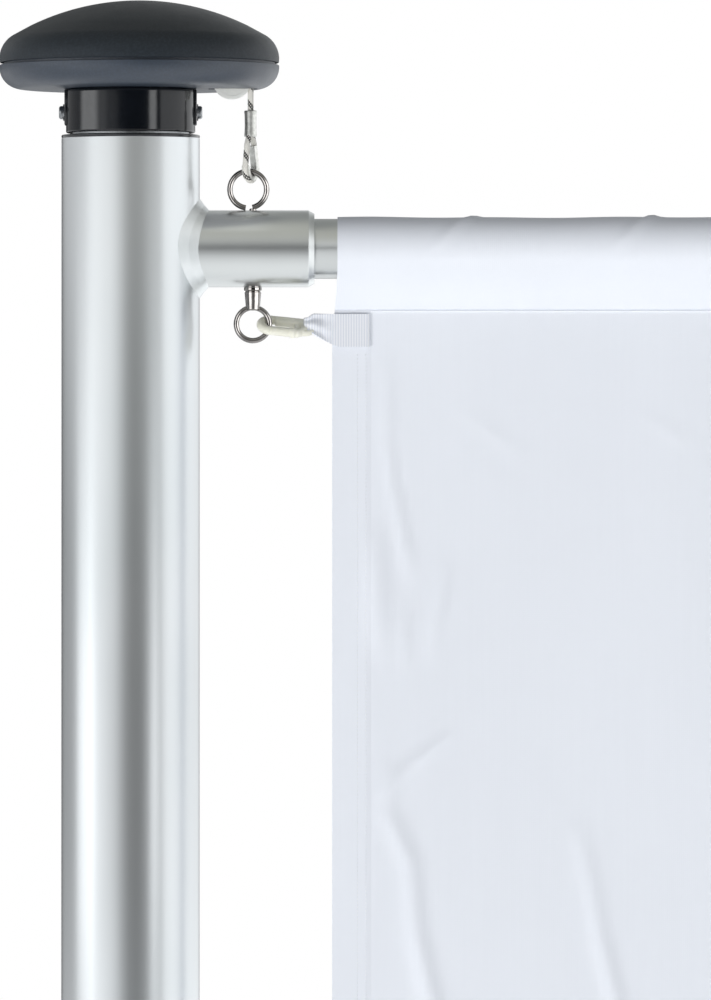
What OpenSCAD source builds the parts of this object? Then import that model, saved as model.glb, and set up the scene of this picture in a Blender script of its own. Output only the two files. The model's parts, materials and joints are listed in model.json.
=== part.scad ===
// Flagpole with a hoistable, revolving banner arm.
// Millimetres. Origin at the centre of the base flange's lower face, +Z up, arm along +X.

/* [Mast] */
// Height of the banner arm's axis above the ground, with the arm hoisted
arm_z = 5840; // [4000:10:7500]
// Outer diameter of the mast tube
mast_d = 76; // [62:1:92]
// Wall of the mast tube
mast_wall = 3; // [2:0.5:4]

/* [Base] */
// Diameter of the base flange
flange_d = 250; // [200:5:320]
// Thickness of the base flange
flange_t = 15; // [10:1:25]
// Bolt circle of the anchor holes
anchor_pcd = 200; // [160:5:270]
// Diameter of each anchor hole
anchor_hole_d = 18; // [12:1:22]
// Height of the socket that holds the mast
socket_h = 150; // [100:5:250]
// Wall of the socket
socket_wall = 5; // [3:0.5:8]
// Thickness of each gusset
gusset_t = 6; // [4:0.5:10]
// Height of each gusset
gusset_h = 90; // [60:5:95]
// Diameter of the clamp screws' heads
clamp_head_d = 16; // [12:1:20]

/* [Halyard door] */
// Height of the door's centre above the ground
door_z = 1200; // [900:10:1500]
// Height of the opening behind the door
door_open_h = 150; // [110:5:200]
// Width of the opening behind the door
door_open_w = 40; // [30:1:50]
// How far the door overlaps the opening all round
door_lap = 7; // [5:0.5:9]
// Thickness of the door plate
door_t = 1.5; // [1:0.25:2.5]
// Diameter of the lock's face
lock_d = 19; // [16:1:22]

/* [Carriage] */
// Length of the carriage tube that slides on the mast
carriage_len = 1000; // [800:10:1300]
// Wall of the carriage tube
carriage_wall = 2.5; // [2:0.25:4]
// Height of the carriage tube's top above the arm's axis
carriage_rise = 72; // [55:1:90]
// Wall of the sliding bushes
bush_wall = 4.1; // [2:0.1:6]
// Length of each sliding bush inside the carriage tube
bush_len = 40; // [25:1:60]
// Thickness of each bush's flange
bush_flange_t = 2; // [1.5:0.25:4]

/* [Arm] */
// Outer diameter of the arm tube
arm_d = 39; // [32:0.5:47]
// Wall of the arm tube
arm_wall = 2; // [1.5:0.25:3]
// Wall of the sleeve that holds the arm
sleeve_wall = 5.4; // [3:0.1:7]
// Length of the sleeve beyond the carriage tube's surface
sleeve_reach = 74.5; // [60:0.5:95]
// Chamfer at the sleeve's mouth
sleeve_chamfer = 3; // [1:0.25:4.5]
// Leg of the weld between the sleeve and the carriage
weld_leg = 5; // [3:0.25:7]
// Length of arm past the banner's outer edge
arm_over = 25; // [15:1:60]

/* [Arm fittings] */
// Distance from the carriage tube's surface to the eye bolt's axis
bolt_reach = 34.5; // [28:0.5:45]
// Diameter of the eye bolt's wire
eye_wire_d = 3.6; // [3:0.1:4.5]
// Outer diameter of the bolt's eye
eye_d = 27.5; // [24:0.5:34]
// Distance of the eye's centre from the bolt's axis, towards the mast
eye_offset = 3; // [0:0.5:4]
// Diameter of the eye bolt's shank
shank_d = 4.6; // [4:0.1:6]
// Diameter of the ring nut's rim
nut_rim_d = 11.6; // [10:0.1:14]
// Height of the ring nut's neck, from its seat to the ring's inside
nut_h = 15; // [12:0.5:18]
// Outer diameter of the nut's ring
nut_ring_d = 25.1; // [23:0.1:30]
// Diameter of the ring's wire
nut_wire_d = 3.6; // [3:0.1:4.5]

/* [Snap hook and webbing] */
// Diameter of the hook's bars
hook_bar_d = 5.2; // [4:0.1:6]
// Distance between the centre lines of the hook's two bars
hook_gap = 13; // [11:0.5:16]
// Length of the hook from nose to tail
hook_len = 38; // [34:0.5:50]
// Lean of the hook away from lying flat
hook_tilt = 40; // [20:1:50]
// Width of the webbing
webbing_w = 21.4; // [18:0.1:26]
// Thickness of one layer of webbing
webbing_t = 1.2; // [0.8:0.1:2]
// Length of webbing sewn to the banner
webbing_sewn = 24; // [18:1:40]

/* [Banner] */
// Width of the banner
banner_w = 1000; // [700:10:1300]
// Height of the banner, from the top of its pocket to its lower edge
banner_h = 2500; // [1800:10:3200]
// Gap between the sleeve's mouth and the banner's edge
banner_gap = 11.5; // [8:0.5:30]
// Thickness of the banner's solid
banner_t = 2; // [1:0.5:4]
// Thickness of the pocket's cloth
pocket_t = 1; // [0.6:0.1:2]
// Depth of the pocket's seam below the arm's axis
pocket_drop = 39; // [34:0.5:60]

/* [Neck] */
// Wall of the cap's neck round the mast
neck_wall = 4; // [3:0.25:6]
// Height of the neck between the carriage and the cap
neck_h = 28.2; // [22:0.2:40]
// Gap between the neck and the hoisted carriage
stop_gap = 1.3; // [1:0.1:4]
// Diameter of the neck screws' heads
neck_screw_d = 11; // [8:0.5:13]
// Height of each neck screw's head
neck_screw_h = 3.6; // [2:0.1:5]

/* [Cap] */
// How far the cap reaches past the carriage tube, on the side away from the arm
cap_back = 40.4; // [30:0.1:60]
// How far the cap reaches past the halyard
cap_over = 16.7; // [16:0.1:30]
// Depth of the lower dish
dish_h = 17; // [14.2:0.2:22]
// Height of the dome above the seam
dome_h = 40.5; // [33:0.5:50]
// Radius of the dome's rounded edge
dome_edge_r = 17.8; // [13:0.2:20]
// Wall of the dome and dish
cap_wall = 3; // [2:0.25:4]
// Width of the cap's halyard slot
slot_w = 12; // [10:0.5:14]

/* [Halyard] */
// Diameter of the halyard
rope_d = 3.8; // [3:0.1:4.5]
// Outer diameter of each sheave
sheave_d = 25.4; // [23:0.1:27]
// Width of each sheave
sheave_w = 7; // [6:0.25:8]
// Diameter of the ferrule
ferrule_d = 8.4; // [8.1:0.1:10]
// Length of the ferrule
ferrule_len = 17.3; // [14:0.1:22]
// Height of the ferrule above the centre of the halyard's loop
ferrule_rise = 20.5; // [20:0.5:26]

/* [Hidden] */
$fn = 64;
e = 1;

silver = "#d3d8db";
steel = "#b9bdbf";
black = "#26292c";
cream = "#efeee2";
cloth = "#e8ecf5";

// mast and carriage
mast_r = mast_d / 2;
slide_gap = 0.4;
bush_r = mast_r + slide_gap;
carriage_bore_r = bush_r + bush_wall;
carriage_r = carriage_bore_r + carriage_wall;
carriage_top = arm_z + carriage_rise;
carriage_bottom = carriage_top - carriage_len;

// neck, which carries the cap on a spigot
neck_r = mast_r + neck_wall;
neck_bottom = carriage_top + bush_flange_t + stop_gap;
neck_top = neck_bottom + neck_h;
neck_plate_t = 3.5;
mast_top = neck_top - neck_plate_t;
spigot_inset = 2.5;
spigot_wall = 2.5;
spigot_r = mast_r - spigot_inset;
spigot_bore_r = spigot_r - spigot_wall;
spigot_h = 8.5;
cap_play = 0.5;
retainer_t = 3;
retainer_w = 4.5;
neck_screw_rise = 13.3;
neck_screw_z = neck_bottom + neck_screw_rise;
neck_pad_t = 1;
neck_pad_w = 14;
neck_pad_start = 5;
neck_screw_shank_d = 5;
neck_screw_taper = 3;

// cap
dish_z = neck_top + cap_play;
seam_z = dish_z + dish_h;
dish_edge_r = 14.2;
dome_lip = 2.5;
groove_h = 0.9;
groove_d = 1.5;
arc_steps = 10;

// halyard: up the mast's axis, over two sheaves and down to the eye bolt
rope_r = rope_d / 2;
groove_gap = 0.3;
sheave_r = sheave_d / 2;
rope_run_r = sheave_r - 0.5;
groove_floor_r = rope_run_r - rope_r - groove_gap;
groove_half_w = rope_r + 0.4;
groove_mouth = groove_half_w + 0.4;
pin_r = 3;
pin_end = 1;
running_gap = 0.08;
bolt_x = carriage_r + bolt_reach;
rope_x = bolt_x - eye_offset / 2;
cap_end = rope_x + rope_d / 2 + cap_over;
cap_r = (carriage_r + cap_back + cap_end) / 2;
cap_shift = cap_end - cap_r;
sheave_x = rope_x - rope_run_r;
inner_sheave_x = rope_run_r;
sheave_z = dish_z + 6;
cheek_t = 2;
cheek_y = sheave_w / 2 + 0.7;
rope_cover = 1;
cheek_top = sheave_z + rope_run_r + rope_r + rope_cover;
cheek_half = 9;
foot_w = 9;
foot_t = 2;
foot_start = spigot_r + retainer_w + 2.5;
foot_end = sheave_x + cheek_half + 4;
cheek_bottom = sheave_z - 6;
cheek_over = neck_top + spigot_h + 1.5;
slot_margin = 2.5;

// loop of halyard round the thimble, which hangs in the bolt's eye
eye_wire_r = eye_wire_d / 2;
eye_ring_r = eye_d / 2 - eye_wire_r;
sleeve_bore_r = arm_d / 2 + 0.1;
sleeve_r = sleeve_bore_r + sleeve_wall;
eye_sink = 0.2;
eye_z = arm_z + sleeve_r + eye_ring_r + eye_wire_r - eye_sink;
eye_x = bolt_x - eye_offset;
thimble_bore_r = 4.6;
thimble_t = 1.9;
thimble_w = 4.6;
loop_r = thimble_bore_r + thimble_t + rope_r - 0.6;
loop_slack = 1.1;
loop_z = eye_z + eye_ring_r - eye_wire_r + thimble_bore_r - loop_slack;
loop_turn = 64;
ferrule_bottom = loop_z + ferrule_rise;
ferrule_top = ferrule_bottom + ferrule_len;
drop_len = sheave_z - ferrule_top;
leg_gap = 0.1;
loop_top = [rope_r + leg_gap, ferrule_rise];
loop_dist = norm(loop_top);
tangent_angle = atan2(loop_top[1], loop_top[0]) - acos(loop_r / loop_dist);
tangent_point = loop_r * [cos(tangent_angle), sin(tangent_angle)];
leg_len = norm(loop_top - tangent_point);
leg_lean = atan2(tangent_point[0] - loop_top[0], loop_top[1] - tangent_point[1]);

// arm, sleeve and the fittings through them
sleeve_end = carriage_r + sleeve_reach;
chamfer_slope = 0.6;
weld_throat = 0.35 * weld_leg;
banner_x = sleeve_end + banner_gap;
arm_start = carriage_r + 3;
arm_end = banner_x + banner_w + arm_over;
plug_flange_t = 3;
plug_depth = 20;
shank_r = shank_d / 2;
shank_gap = 0.2;
shank_below = 10;
nut_rim_t = 2.3;
nut_seat = 2;
nut_neck_step = 0.4;
nut_neck_taper = 0.9;
nut_neck_r = nut_rim_d / 2 - nut_neck_step;
nut_top_z = arm_z - sleeve_r;
nut_wire_r = nut_wire_d / 2;
nut_ring_r = nut_ring_d / 2 - nut_wire_r;
nut_ring_z = nut_top_z - nut_h - nut_ring_r + nut_wire_r;

// snap hook, in the ring's right limb
hook_r = hook_bar_d / 2;
hook_drop = 0.8;
hook_z = nut_ring_z - hook_drop;
hook_slack = 1.4;
nose_r = hook_gap / 2;
nose_x = bolt_x + nut_ring_r - nut_wire_r - hook_slack - hook_r + nose_r;
tail_r = 6.6;
tail_hole_r = 3.4;
tail_t = 4.6;
tail_x = nose_x - nose_r - hook_r + hook_len - tail_r;

// banner
pocket_r = arm_d / 2 + 0.2;
seam_h = 3;
pocket_seam_z = arm_z - pocket_drop;
banner_top = pocket_seam_z - seam_h;
banner_bottom = arm_z + pocket_r + pocket_t - banner_h;
tab_neck_w = 7;
tab_start = tail_x + tail_r;
tab_z = banner_top - webbing_w / 2 - slide_gap;
tab_end = banner_x + webbing_sewn;

// base and door
anchor_count = 4;
socket_r = mast_r + socket_wall;
gusset_count = 4;
gusset_foot = flange_d / 2 - 12;
gusset_toe_h = 12;
gusset_top = 10;
clamp_count = 3;
clamp_z = flange_t + socket_h - 25;
clamp_shank_d = 10;
clamp_head_h = 8;
door_plate_w = door_open_w + 2 * door_lap;
door_plate_h = door_open_h + 2 * door_lap;
door_corner_r = 12;
door_open_corner_r = 7;
lock_z = door_z + door_open_h / 4;
lock_depth = 6;
lock_h = 3;
key_slot = [2, 9];
cleat_r = 5;
cleat_tip = 8;

// cylinder along X from x0 to x1, on the arm's axis
module arm_rod(r, x0, x1) {
    translate([x0, 0, arm_z]) rotate([0, 90, 0]) cylinder(h = x1 - x0, r = r);
}

// cylinder along Y, centred on y = 0
module cross_pin(x, z, r, len) {
    translate([x, len / 2, z]) rotate([90, 0, 0]) cylinder(h = len, r = r);
}

// pipe standing on z
module pipe(z, h, r_out, r_in) {
    translate([0, 0, z]) difference() {
        cylinder(h = h, r = r_out);
        translate([0, 0, -e]) cylinder(h = h + 2 * e, r = r_in);
    }
}

// rectangle with rounded corners, centred
module round_rect(w, h, r) {
    square([w, h - 2 * r], center = true);
    square([w - 2 * r, h], center = true);
    for (x = [-1, 1], y = [-1, 1]) translate([x * (w / 2 - r), y * (h / 2 - r)]) circle(r);
}

// rounded prism through the mast's front, facing -Y
module door_cutter(w, h, r) {
    translate([0, 0, door_z]) rotate([90, 0, 0]) linear_extrude(mast_d) round_rect(w, h, r);
}

module base_flange() color(steel) difference() {
    cylinder(h = flange_t, d = flange_d);
    for (i = [0 : anchor_count - 1]) rotate(i * 360 / anchor_count + 45)
        translate([anchor_pcd / 2, 0, -e]) cylinder(h = flange_t + 2 * e, d = anchor_hole_d);
}

module base_socket() color(steel) difference() {
    pipe(flange_t, socket_h, socket_r, mast_r);
    clamp_stations() translate([0, 0, mast_r - e])
        cylinder(h = socket_wall + 2 * e, d = clamp_shank_d);
}

// the clamp screws' axes, as a local +Z that points outwards
module clamp_stations() {
    for (i = [0 : clamp_count - 1]) rotate(i * 360 / clamp_count + 30)
        translate([0, 0, clamp_z]) rotate([0, 90, 0]) children();
}

module base_gussets() color(steel) for (i = [0 : gusset_count - 1])
    rotate(i * 360 / gusset_count) difference() {
    translate([0, gusset_t / 2, flange_t]) rotate([90, 0, 0]) linear_extrude(gusset_t)
        polygon([
            [0, 0], [gusset_foot, 0], [gusset_foot, gusset_toe_h],
            [socket_r + gusset_top, gusset_h], [0, gusset_h]
        ]);
    cylinder(h = flange_t + socket_h, r = socket_r);
}

module clamp_screws() color(steel) clamp_stations() {
    translate([0, 0, mast_r]) cylinder(h = socket_wall, d = clamp_shank_d);
    translate([0, 0, socket_r]) difference() {
        cylinder(h = clamp_head_h, d = clamp_head_d);
        translate([0, 0, clamp_head_h / 2]) cylinder(h = clamp_head_h, r = clamp_head_d / 4, $fn = 6);
    }
}

module mast_tube() color(silver) difference() {
    pipe(flange_t, mast_top - flange_t, mast_r, mast_r - mast_wall);
    door_cutter(door_open_w, door_open_h, door_open_corner_r);
    for (side = [0, 180]) rotate(side) translate([mast_r - mast_wall - e, 0, neck_screw_z])
        rotate([0, 90, 0]) cylinder(h = mast_wall + 2 * e, d = neck_screw_shank_d);
}

module halyard_door() color(silver) difference() {
    intersection() {
        pipe(door_z - door_plate_h, 2 * door_plate_h, mast_r + door_t, mast_r);
        door_cutter(door_plate_w, door_plate_h, door_corner_r);
    }
    lock_body(0);
}

// lock barrel through the door's upper half
module lock_body(extra) {
    translate([0, -mast_r + lock_depth, lock_z]) rotate([90, 0, 0])
        cylinder(h = lock_depth + door_t + extra, d = lock_d);
}

module door_lock() color(steel) difference() {
    lock_body(lock_h);
    translate([-key_slot[0] / 2, -mast_r - door_t - lock_h - e, lock_z - key_slot[1] / 2])
        cube([key_slot[0], lock_h, key_slot[1]]);
}

module halyard_cleat() color(steel) intersection() {
    translate([0, mast_r, door_z]) rotate([90, 0, 0]) cylinder(h = mast_r + cleat_tip, r = cleat_r);
    translate([0, 0, door_z - mast_r]) cylinder(h = mast_d, r = mast_r - mast_wall);
}

module halyard_rise() color(cream)
    translate([0, 0, door_z + cleat_r]) cylinder(h = sheave_z - door_z - cleat_r, r = rope_r);

// pads and screw holes stand on both sides of the neck, in line with the arm
module neck_sides() {
    for (side = [0, 180]) rotate(side) translate([0, 0, neck_screw_z]) rotate([0, 90, 0]) children();
}

module cap_neck() color(black) difference() {
    union() {
        pipe(neck_bottom, mast_top - neck_bottom, neck_r, mast_r);
        pipe(mast_top, neck_plate_t, neck_r, spigot_bore_r);
        pipe(neck_top, spigot_h, spigot_r, spigot_bore_r);
        for (side = [0, 180]) rotate(side) neck_pad();
    }
    neck_sides() cylinder(h = neck_r + neck_pad_t + e, d = neck_screw_shank_d);
}

// flat-faced pad that a neck screw's head seats on
module neck_pad() {
    difference() {
        translate([0, -neck_pad_w / 2, neck_bottom + neck_pad_start])
            cube([neck_r + neck_pad_t, neck_pad_w, neck_h - neck_pad_start]);
        translate([0, 0, neck_bottom]) cylinder(h = neck_h + e, r = neck_r);
    }
}

module neck_screws() color(steel) neck_sides() {
    translate([0, 0, mast_r - mast_wall])
        cylinder(h = neck_r + neck_pad_t - mast_r + mast_wall, d = neck_screw_shank_d);
    translate([0, 0, neck_r + neck_pad_t]) difference() {
        cylinder(h = neck_screw_h, d1 = neck_screw_d, d2 = neck_screw_d - neck_screw_taper);
        translate([0, 0, neck_screw_h / 2]) cylinder(h = neck_screw_h, r = neck_screw_d / 4, $fn = 6);
    }
}

module cap_retainer() color(steel)
    pipe(dish_z + cap_wall + cap_play, retainer_t, spigot_r + retainer_w, spigot_r);

// arc of points about [x, z], from angle a to angle b
function arc(x, z, r, a, b, steps = arc_steps) = [
    for (i = [0 : steps]) let (t = a + (b - a) * i / steps) [x + r * cos(t), z + r * sin(t)]
];

// outline of the dish, moved inwards by t, closed along its axis and its rim
function dish_outline(t, top) = concat(
    [[0, top], [0, t]],
    arc(cap_r - dish_edge_r, dish_edge_r, dish_edge_r - t, -90, 0),
    [[cap_r - t, top]]
);

module cap_dish() color(black) translate([0, 0, dish_z]) difference() {
    translate([cap_shift, 0, 0]) rotate_extrude() difference() {
        polygon(dish_outline(0, dish_h));
        polygon(dish_outline(cap_wall, dish_h + e));
        translate([cap_r - groove_d, dish_h - groove_h]) square([groove_d + e, groove_h + e]);
    }
    translate([0, 0, -e]) cylinder(h = cap_wall + 2 * e, r = spigot_r + slide_gap);
    translate([sheave_x - sheave_r - slot_margin, -slot_w / 2, -e])
        cube([rope_x + rope_r + slot_margin - sheave_x + sheave_r + slot_margin, slot_w, cap_wall + 2 * e]);
}

// the crown's arc is tangent to the edge's, and both move inwards by t
edge_x = cap_r - dome_edge_r;
crown_b = dome_h - dome_lip;
crown_r = (edge_x * edge_x + crown_b * crown_b - dome_edge_r * dome_edge_r) / (2 * (crown_b - dome_edge_r));
crown_z = dome_h - crown_r;
join_angle = atan2(dome_lip - crown_z, edge_x);
function dome_outline(t, bottom) = concat(
    [[0, bottom], [cap_r - t, bottom]],
    arc(edge_x, dome_lip, dome_edge_r - t, 0, join_angle),
    [for (p = arc(0, crown_z, crown_r - t, join_angle, 90)) if (p[0] < edge_x) p]
);

module cap_dome() color(black) translate([cap_shift, 0, seam_z]) rotate_extrude() difference() {
    polygon(dome_outline(0, 0));
    polygon(dome_outline(cap_wall, -e));
}

// side plate of the bracket: over the spigot's rim, down into its bore and down to the dish
module bracket_cheek() {
    start = inner_sheave_x - cheek_half;
    inner = inner_sheave_x + cheek_half;
    floor_z = dish_z + cap_wall;
    polygon([
        [start, cheek_top], [start, cheek_bottom], [inner, cheek_bottom], [inner, cheek_over],
        [foot_start, cheek_over], [foot_start, floor_z], [foot_end, floor_z], [foot_end, cheek_top]
    ]);
}

module sheave_bracket() color(steel) difference() {
    for (side = [-1, 1]) {
        translate([0, side * (cheek_y + cheek_t / 2) + cheek_t / 2, 0])
            rotate([90, 0, 0]) linear_extrude(cheek_t) bracket_cheek();
        translate([foot_start, side * (cheek_y + cheek_t + foot_w / 2) - foot_w / 2, dish_z + cap_wall])
            cube([foot_end - foot_start, foot_w, foot_t]);
    }
    for (x = [inner_sheave_x, sheave_x]) cross_pin(x, sheave_z, pin_r, 4 * cheek_y);
}

module sheave_pins() color(steel) for (x = [inner_sheave_x, sheave_x])
    cross_pin(x, sheave_z, pin_r, 2 * (cheek_y + cheek_t + pin_end));

module sheave(x, bore_r) translate([x, 0, sheave_z]) rotate([90, 0, 0]) rotate_extrude() polygon([
    [bore_r, -sheave_w / 2], [sheave_r, -sheave_w / 2], [sheave_r, -groove_mouth],
    [groove_floor_r + rope_r, -groove_half_w], [groove_floor_r, -groove_half_w / 2],
    [groove_floor_r, groove_half_w / 2], [groove_floor_r + rope_r, groove_half_w],
    [sheave_r, groove_mouth], [sheave_r, sheave_w / 2], [bore_r, sheave_w / 2]
]);

module inner_sheave() color("white") sheave(inner_sheave_x, pin_r);

module outer_sheave() color("white") sheave(sheave_x, pin_r + running_gap);

// quarter turn of halyard over a sheave, starting at the sheave's height
module rope_bend(x, toward) translate([x, 0, sheave_z]) rotate([90, 0, 0]) rotate(toward > 0 ? 0 : 90)
    rotate_extrude(angle = 90) translate([rope_run_r, 0]) circle(rope_r);

module halyard_over() color(cream) {
    rope_bend(inner_sheave_x, -1);
    translate([inner_sheave_x, 0, sheave_z + rope_run_r]) rotate([0, 90, 0])
        cylinder(h = sheave_x - inner_sheave_x, r = rope_r);
    rope_bend(sheave_x, 1);
}

module halyard_drop() color(cream) translate([rope_x, 0, ferrule_top]) cylinder(h = drop_len, r = rope_r);

module carriage_tube() color(silver) pipe(carriage_bottom, carriage_len, carriage_r, carriage_bore_r);

// bush with its flange outside the tube's end
module bush() {
    pipe(0, bush_flange_t, carriage_r, bush_r);
    pipe(-bush_len, bush_len, carriage_bore_r, bush_r);
}

module top_bush() color(black) translate([0, 0, carriage_top]) bush();

module bottom_bush() color(black) translate([0, 0, carriage_bottom]) mirror([0, 0, 1]) bush();

module arm_sleeve() color(silver) difference() {
    union() {
        arm_rod(sleeve_r, 0, sleeve_end - sleeve_chamfer);
        translate([sleeve_end - sleeve_chamfer, 0, arm_z]) rotate([0, 90, 0])
            cylinder(h = sleeve_chamfer, r1 = sleeve_r, r2 = sleeve_r - chamfer_slope * sleeve_chamfer);
    }
    arm_rod(sleeve_bore_r, arm_start, sleeve_end + e);
    translate([0, 0, arm_z - sleeve_r - e]) cylinder(h = 2 * (sleeve_r + e), r = carriage_r);
    translate([bolt_x, 0, arm_z - sleeve_r - e]) cylinder(h = 2 * (sleeve_r + e), r = shank_r + shank_gap);
}

// one step of the weld: the space within a of the sleeve and b of the carriage
module weld_step(a, b) intersection() {
    arm_rod(sleeve_r + a, 0, carriage_r + weld_leg + e);
    translate([0, 0, arm_z - sleeve_r - weld_leg - e])
        cylinder(h = 2 * (sleeve_r + weld_leg + e), r = carriage_r + b);
}

module sleeve_weld() color(silver) difference() {
    union() {
        weld_step(weld_leg, weld_throat);
        weld_step(weld_throat, weld_leg);
    }
    arm_rod(sleeve_r, -e, sleeve_end);
    translate([0, 0, arm_z - 2 * sleeve_r]) cylinder(h = 4 * sleeve_r, r = carriage_r);
}

module banner_arm() color(silver) difference() {
    arm_rod(arm_d / 2, arm_start, arm_end);
    arm_rod(arm_d / 2 - arm_wall, arm_start - e, arm_end + e);
    translate([bolt_x, 0, arm_z - arm_d]) cylinder(h = 2 * arm_d, r = shank_r + shank_gap);
}

module arm_end_plug() color(black) {
    arm_rod(arm_d / 2, arm_end, arm_end + plug_flange_t);
    arm_rod(arm_d / 2 - arm_wall, arm_end - plug_depth, arm_end);
}

// the eye's ring is open beside the shank that its other end runs into
module eye_bolt() color(steel) {
    translate([eye_x, 0, eye_z]) rotate([90, 0, 0]) rotate(-90 + asin(eye_offset / eye_ring_r))
        rotate_extrude(angle = 335) translate([eye_ring_r, 0]) circle(eye_wire_r);
    shank_top = eye_z - sqrt(eye_ring_r * eye_ring_r - eye_offset * eye_offset);
    translate([bolt_x, 0, nut_top_z - shank_below])
        cylinder(h = shank_top - nut_top_z + shank_below, r = shank_r);
}

// conical neck seated on the sleeve, with a ring below it
module ring_nut() color(steel) difference() {
    union() {
        translate([bolt_x, 0, nut_top_z - nut_rim_t]) cylinder(h = nut_rim_t + nut_seat, d = nut_rim_d);
        translate([bolt_x, 0, nut_top_z - nut_h])
            cylinder(h = nut_h - nut_rim_t, r1 = nut_neck_r - nut_neck_taper, r2 = nut_neck_r);
        translate([bolt_x, 0, nut_ring_z]) rotate([90, 0, 0]) rotate_extrude()
            translate([nut_ring_r, 0]) circle(nut_wire_r);
    }
    arm_rod(sleeve_r, 0, sleeve_end);
    translate([bolt_x, 0, nut_top_z - shank_below]) cylinder(h = 2 * shank_below, r = shank_r);
}

// frame of the thimble's loop: centre of its round end, plane turned about the vertical
module loop_frame() translate([rope_x, 0, loop_z]) rotate(loop_turn) rotate([90, 0, 0]) children();

// round end of the loop, open towards the ferrule
module loop_round(r) rotate(180 - tangent_angle) rotate_extrude(angle = 180 + 2 * tangent_angle)
    translate([r, 0]) children();

module halyard_eye() color(cream) loop_frame() loop_round(loop_r) circle(rope_r);

// the two straight parts of the loop, which run up into the ferrule
module halyard_legs() color(cream) difference() {
    loop_frame() for (side = [0, 1]) mirror([side, 0, 0]) translate([tangent_point[0], tangent_point[1], 0])
        rotate([0, 0, leg_lean]) rotate([-90, 0, 0]) cylinder(h = leg_len + rope_r, r = rope_r);
    translate([rope_x, 0, ferrule_bottom]) cylinder(h = ferrule_len, d = ferrule_d);
}

module thimble() color(silver) loop_frame() difference() {
    loop_round(0) translate([thimble_bore_r, -thimble_w / 2]) square([thimble_t, thimble_w]);
    loop_round(loop_r) circle(rope_r);
}

module rope_ferrule() color(silver) translate([rope_x, 0, ferrule_bottom])
    cylinder(h = ferrule_len, d = ferrule_d);

// the hook's own plane: X along it, Y across its bars
module hook_frame() translate([0, 0, hook_z]) rotate([hook_tilt, 0, 0]) children();

// half turn of the hook's bar about x
module hook_end(x, turn) translate([x, 0, 0]) rotate(turn) rotate_extrude(angle = 180)
    translate([nose_r, 0]) circle(hook_r);

// a link with straight sides, and a flat tail with a hole for the webbing
module snap_hook() color(cream) hook_frame() difference() {
    union() {
        hook_end(nose_x, 90);
        hook_end(tail_x - nose_r, -90);
        for (side = [-1, 1]) translate([nose_x, side * nose_r, 0]) rotate([0, 90, 0])
            cylinder(h = tail_x - nose_r - nose_x, r = hook_r);
        translate([tail_x, 0, -tail_t / 2]) cylinder(h = tail_t, r = tail_r);
    }
    translate([tail_x, 0, -tail_t]) cylinder(h = 2 * tail_t, r = tail_hole_r);
}

// webbing: drawn narrow at the hook's tail, full width where it is sewn to the banner
module webbing_tab() color(cloth) difference() {
    translate([0, banner_t / 2 + webbing_t, 0]) rotate([90, 0, 0]) linear_extrude(banner_t + 2 * webbing_t)
        polygon([
            [tab_start, hook_z - tab_neck_w / 2], [banner_x, tab_z - webbing_w / 2],
            [tab_end, tab_z - webbing_w / 2], [tab_end, tab_z + webbing_w / 2],
            [banner_x, tab_z + webbing_w / 2], [tab_start, hook_z + tab_neck_w / 2]
        ]);
    banner_slab(e);
}

// cloth outline round the arm: an arc over it, and straight sides down to a point at depth drop
module pocket_outline(r, drop) {
    side = acos(r / drop);
    polygon(concat(arc(0, 0, r, side - 90, 270 - side, 4 * arc_steps), [[0, -drop]]));
}

module banner_pocket() color(cloth) translate([banner_x, 0, arm_z]) rotate([90, 0, 90])
    linear_extrude(banner_w) difference() {
        union() {
            pocket_outline(pocket_r + pocket_t, pocket_drop);
            translate([-banner_t / 2, -pocket_drop - seam_h]) square([banner_t, 2 * seam_h]);
        }
        pocket_outline(pocket_r, pocket_drop - seam_h);
    }

module banner_slab(grow) translate([banner_x - grow, -banner_t / 2, banner_bottom])
    cube([banner_w + 2 * grow, banner_t, banner_top - banner_bottom]);

module banner_cloth() color(cloth) banner_slab(0);

base_flange();
base_socket();
base_gussets();
clamp_screws();
mast_tube();
halyard_door();
door_lock();
halyard_cleat();
halyard_rise();
cap_neck();
neck_screws();
cap_retainer();
cap_dish();
cap_dome();
sheave_bracket();
sheave_pins();
inner_sheave();
halyard_over();
halyard_drop();
outer_sheave();
carriage_tube();
top_bush();
bottom_bush();
arm_sleeve();
sleeve_weld();
banner_arm();
arm_end_plug();
eye_bolt();
ring_nut();
halyard_eye();
halyard_legs();
thimble();
rope_ferrule();
snap_hook();
webbing_tab();
banner_pocket();
banner_cloth();
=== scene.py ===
"""Flagpole with a hoistable, revolving banner arm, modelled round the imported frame.

Metres, +Z up, the origin at the centre of the base flange's lower face, the arm along +X.
"""
import json
import logging
import math
from dataclasses import dataclass
from enum import Enum
from typing import Callable, Iterable, Optional, Sequence

import bmesh
import bpy
from mathutils import Matrix, Vector

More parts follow.
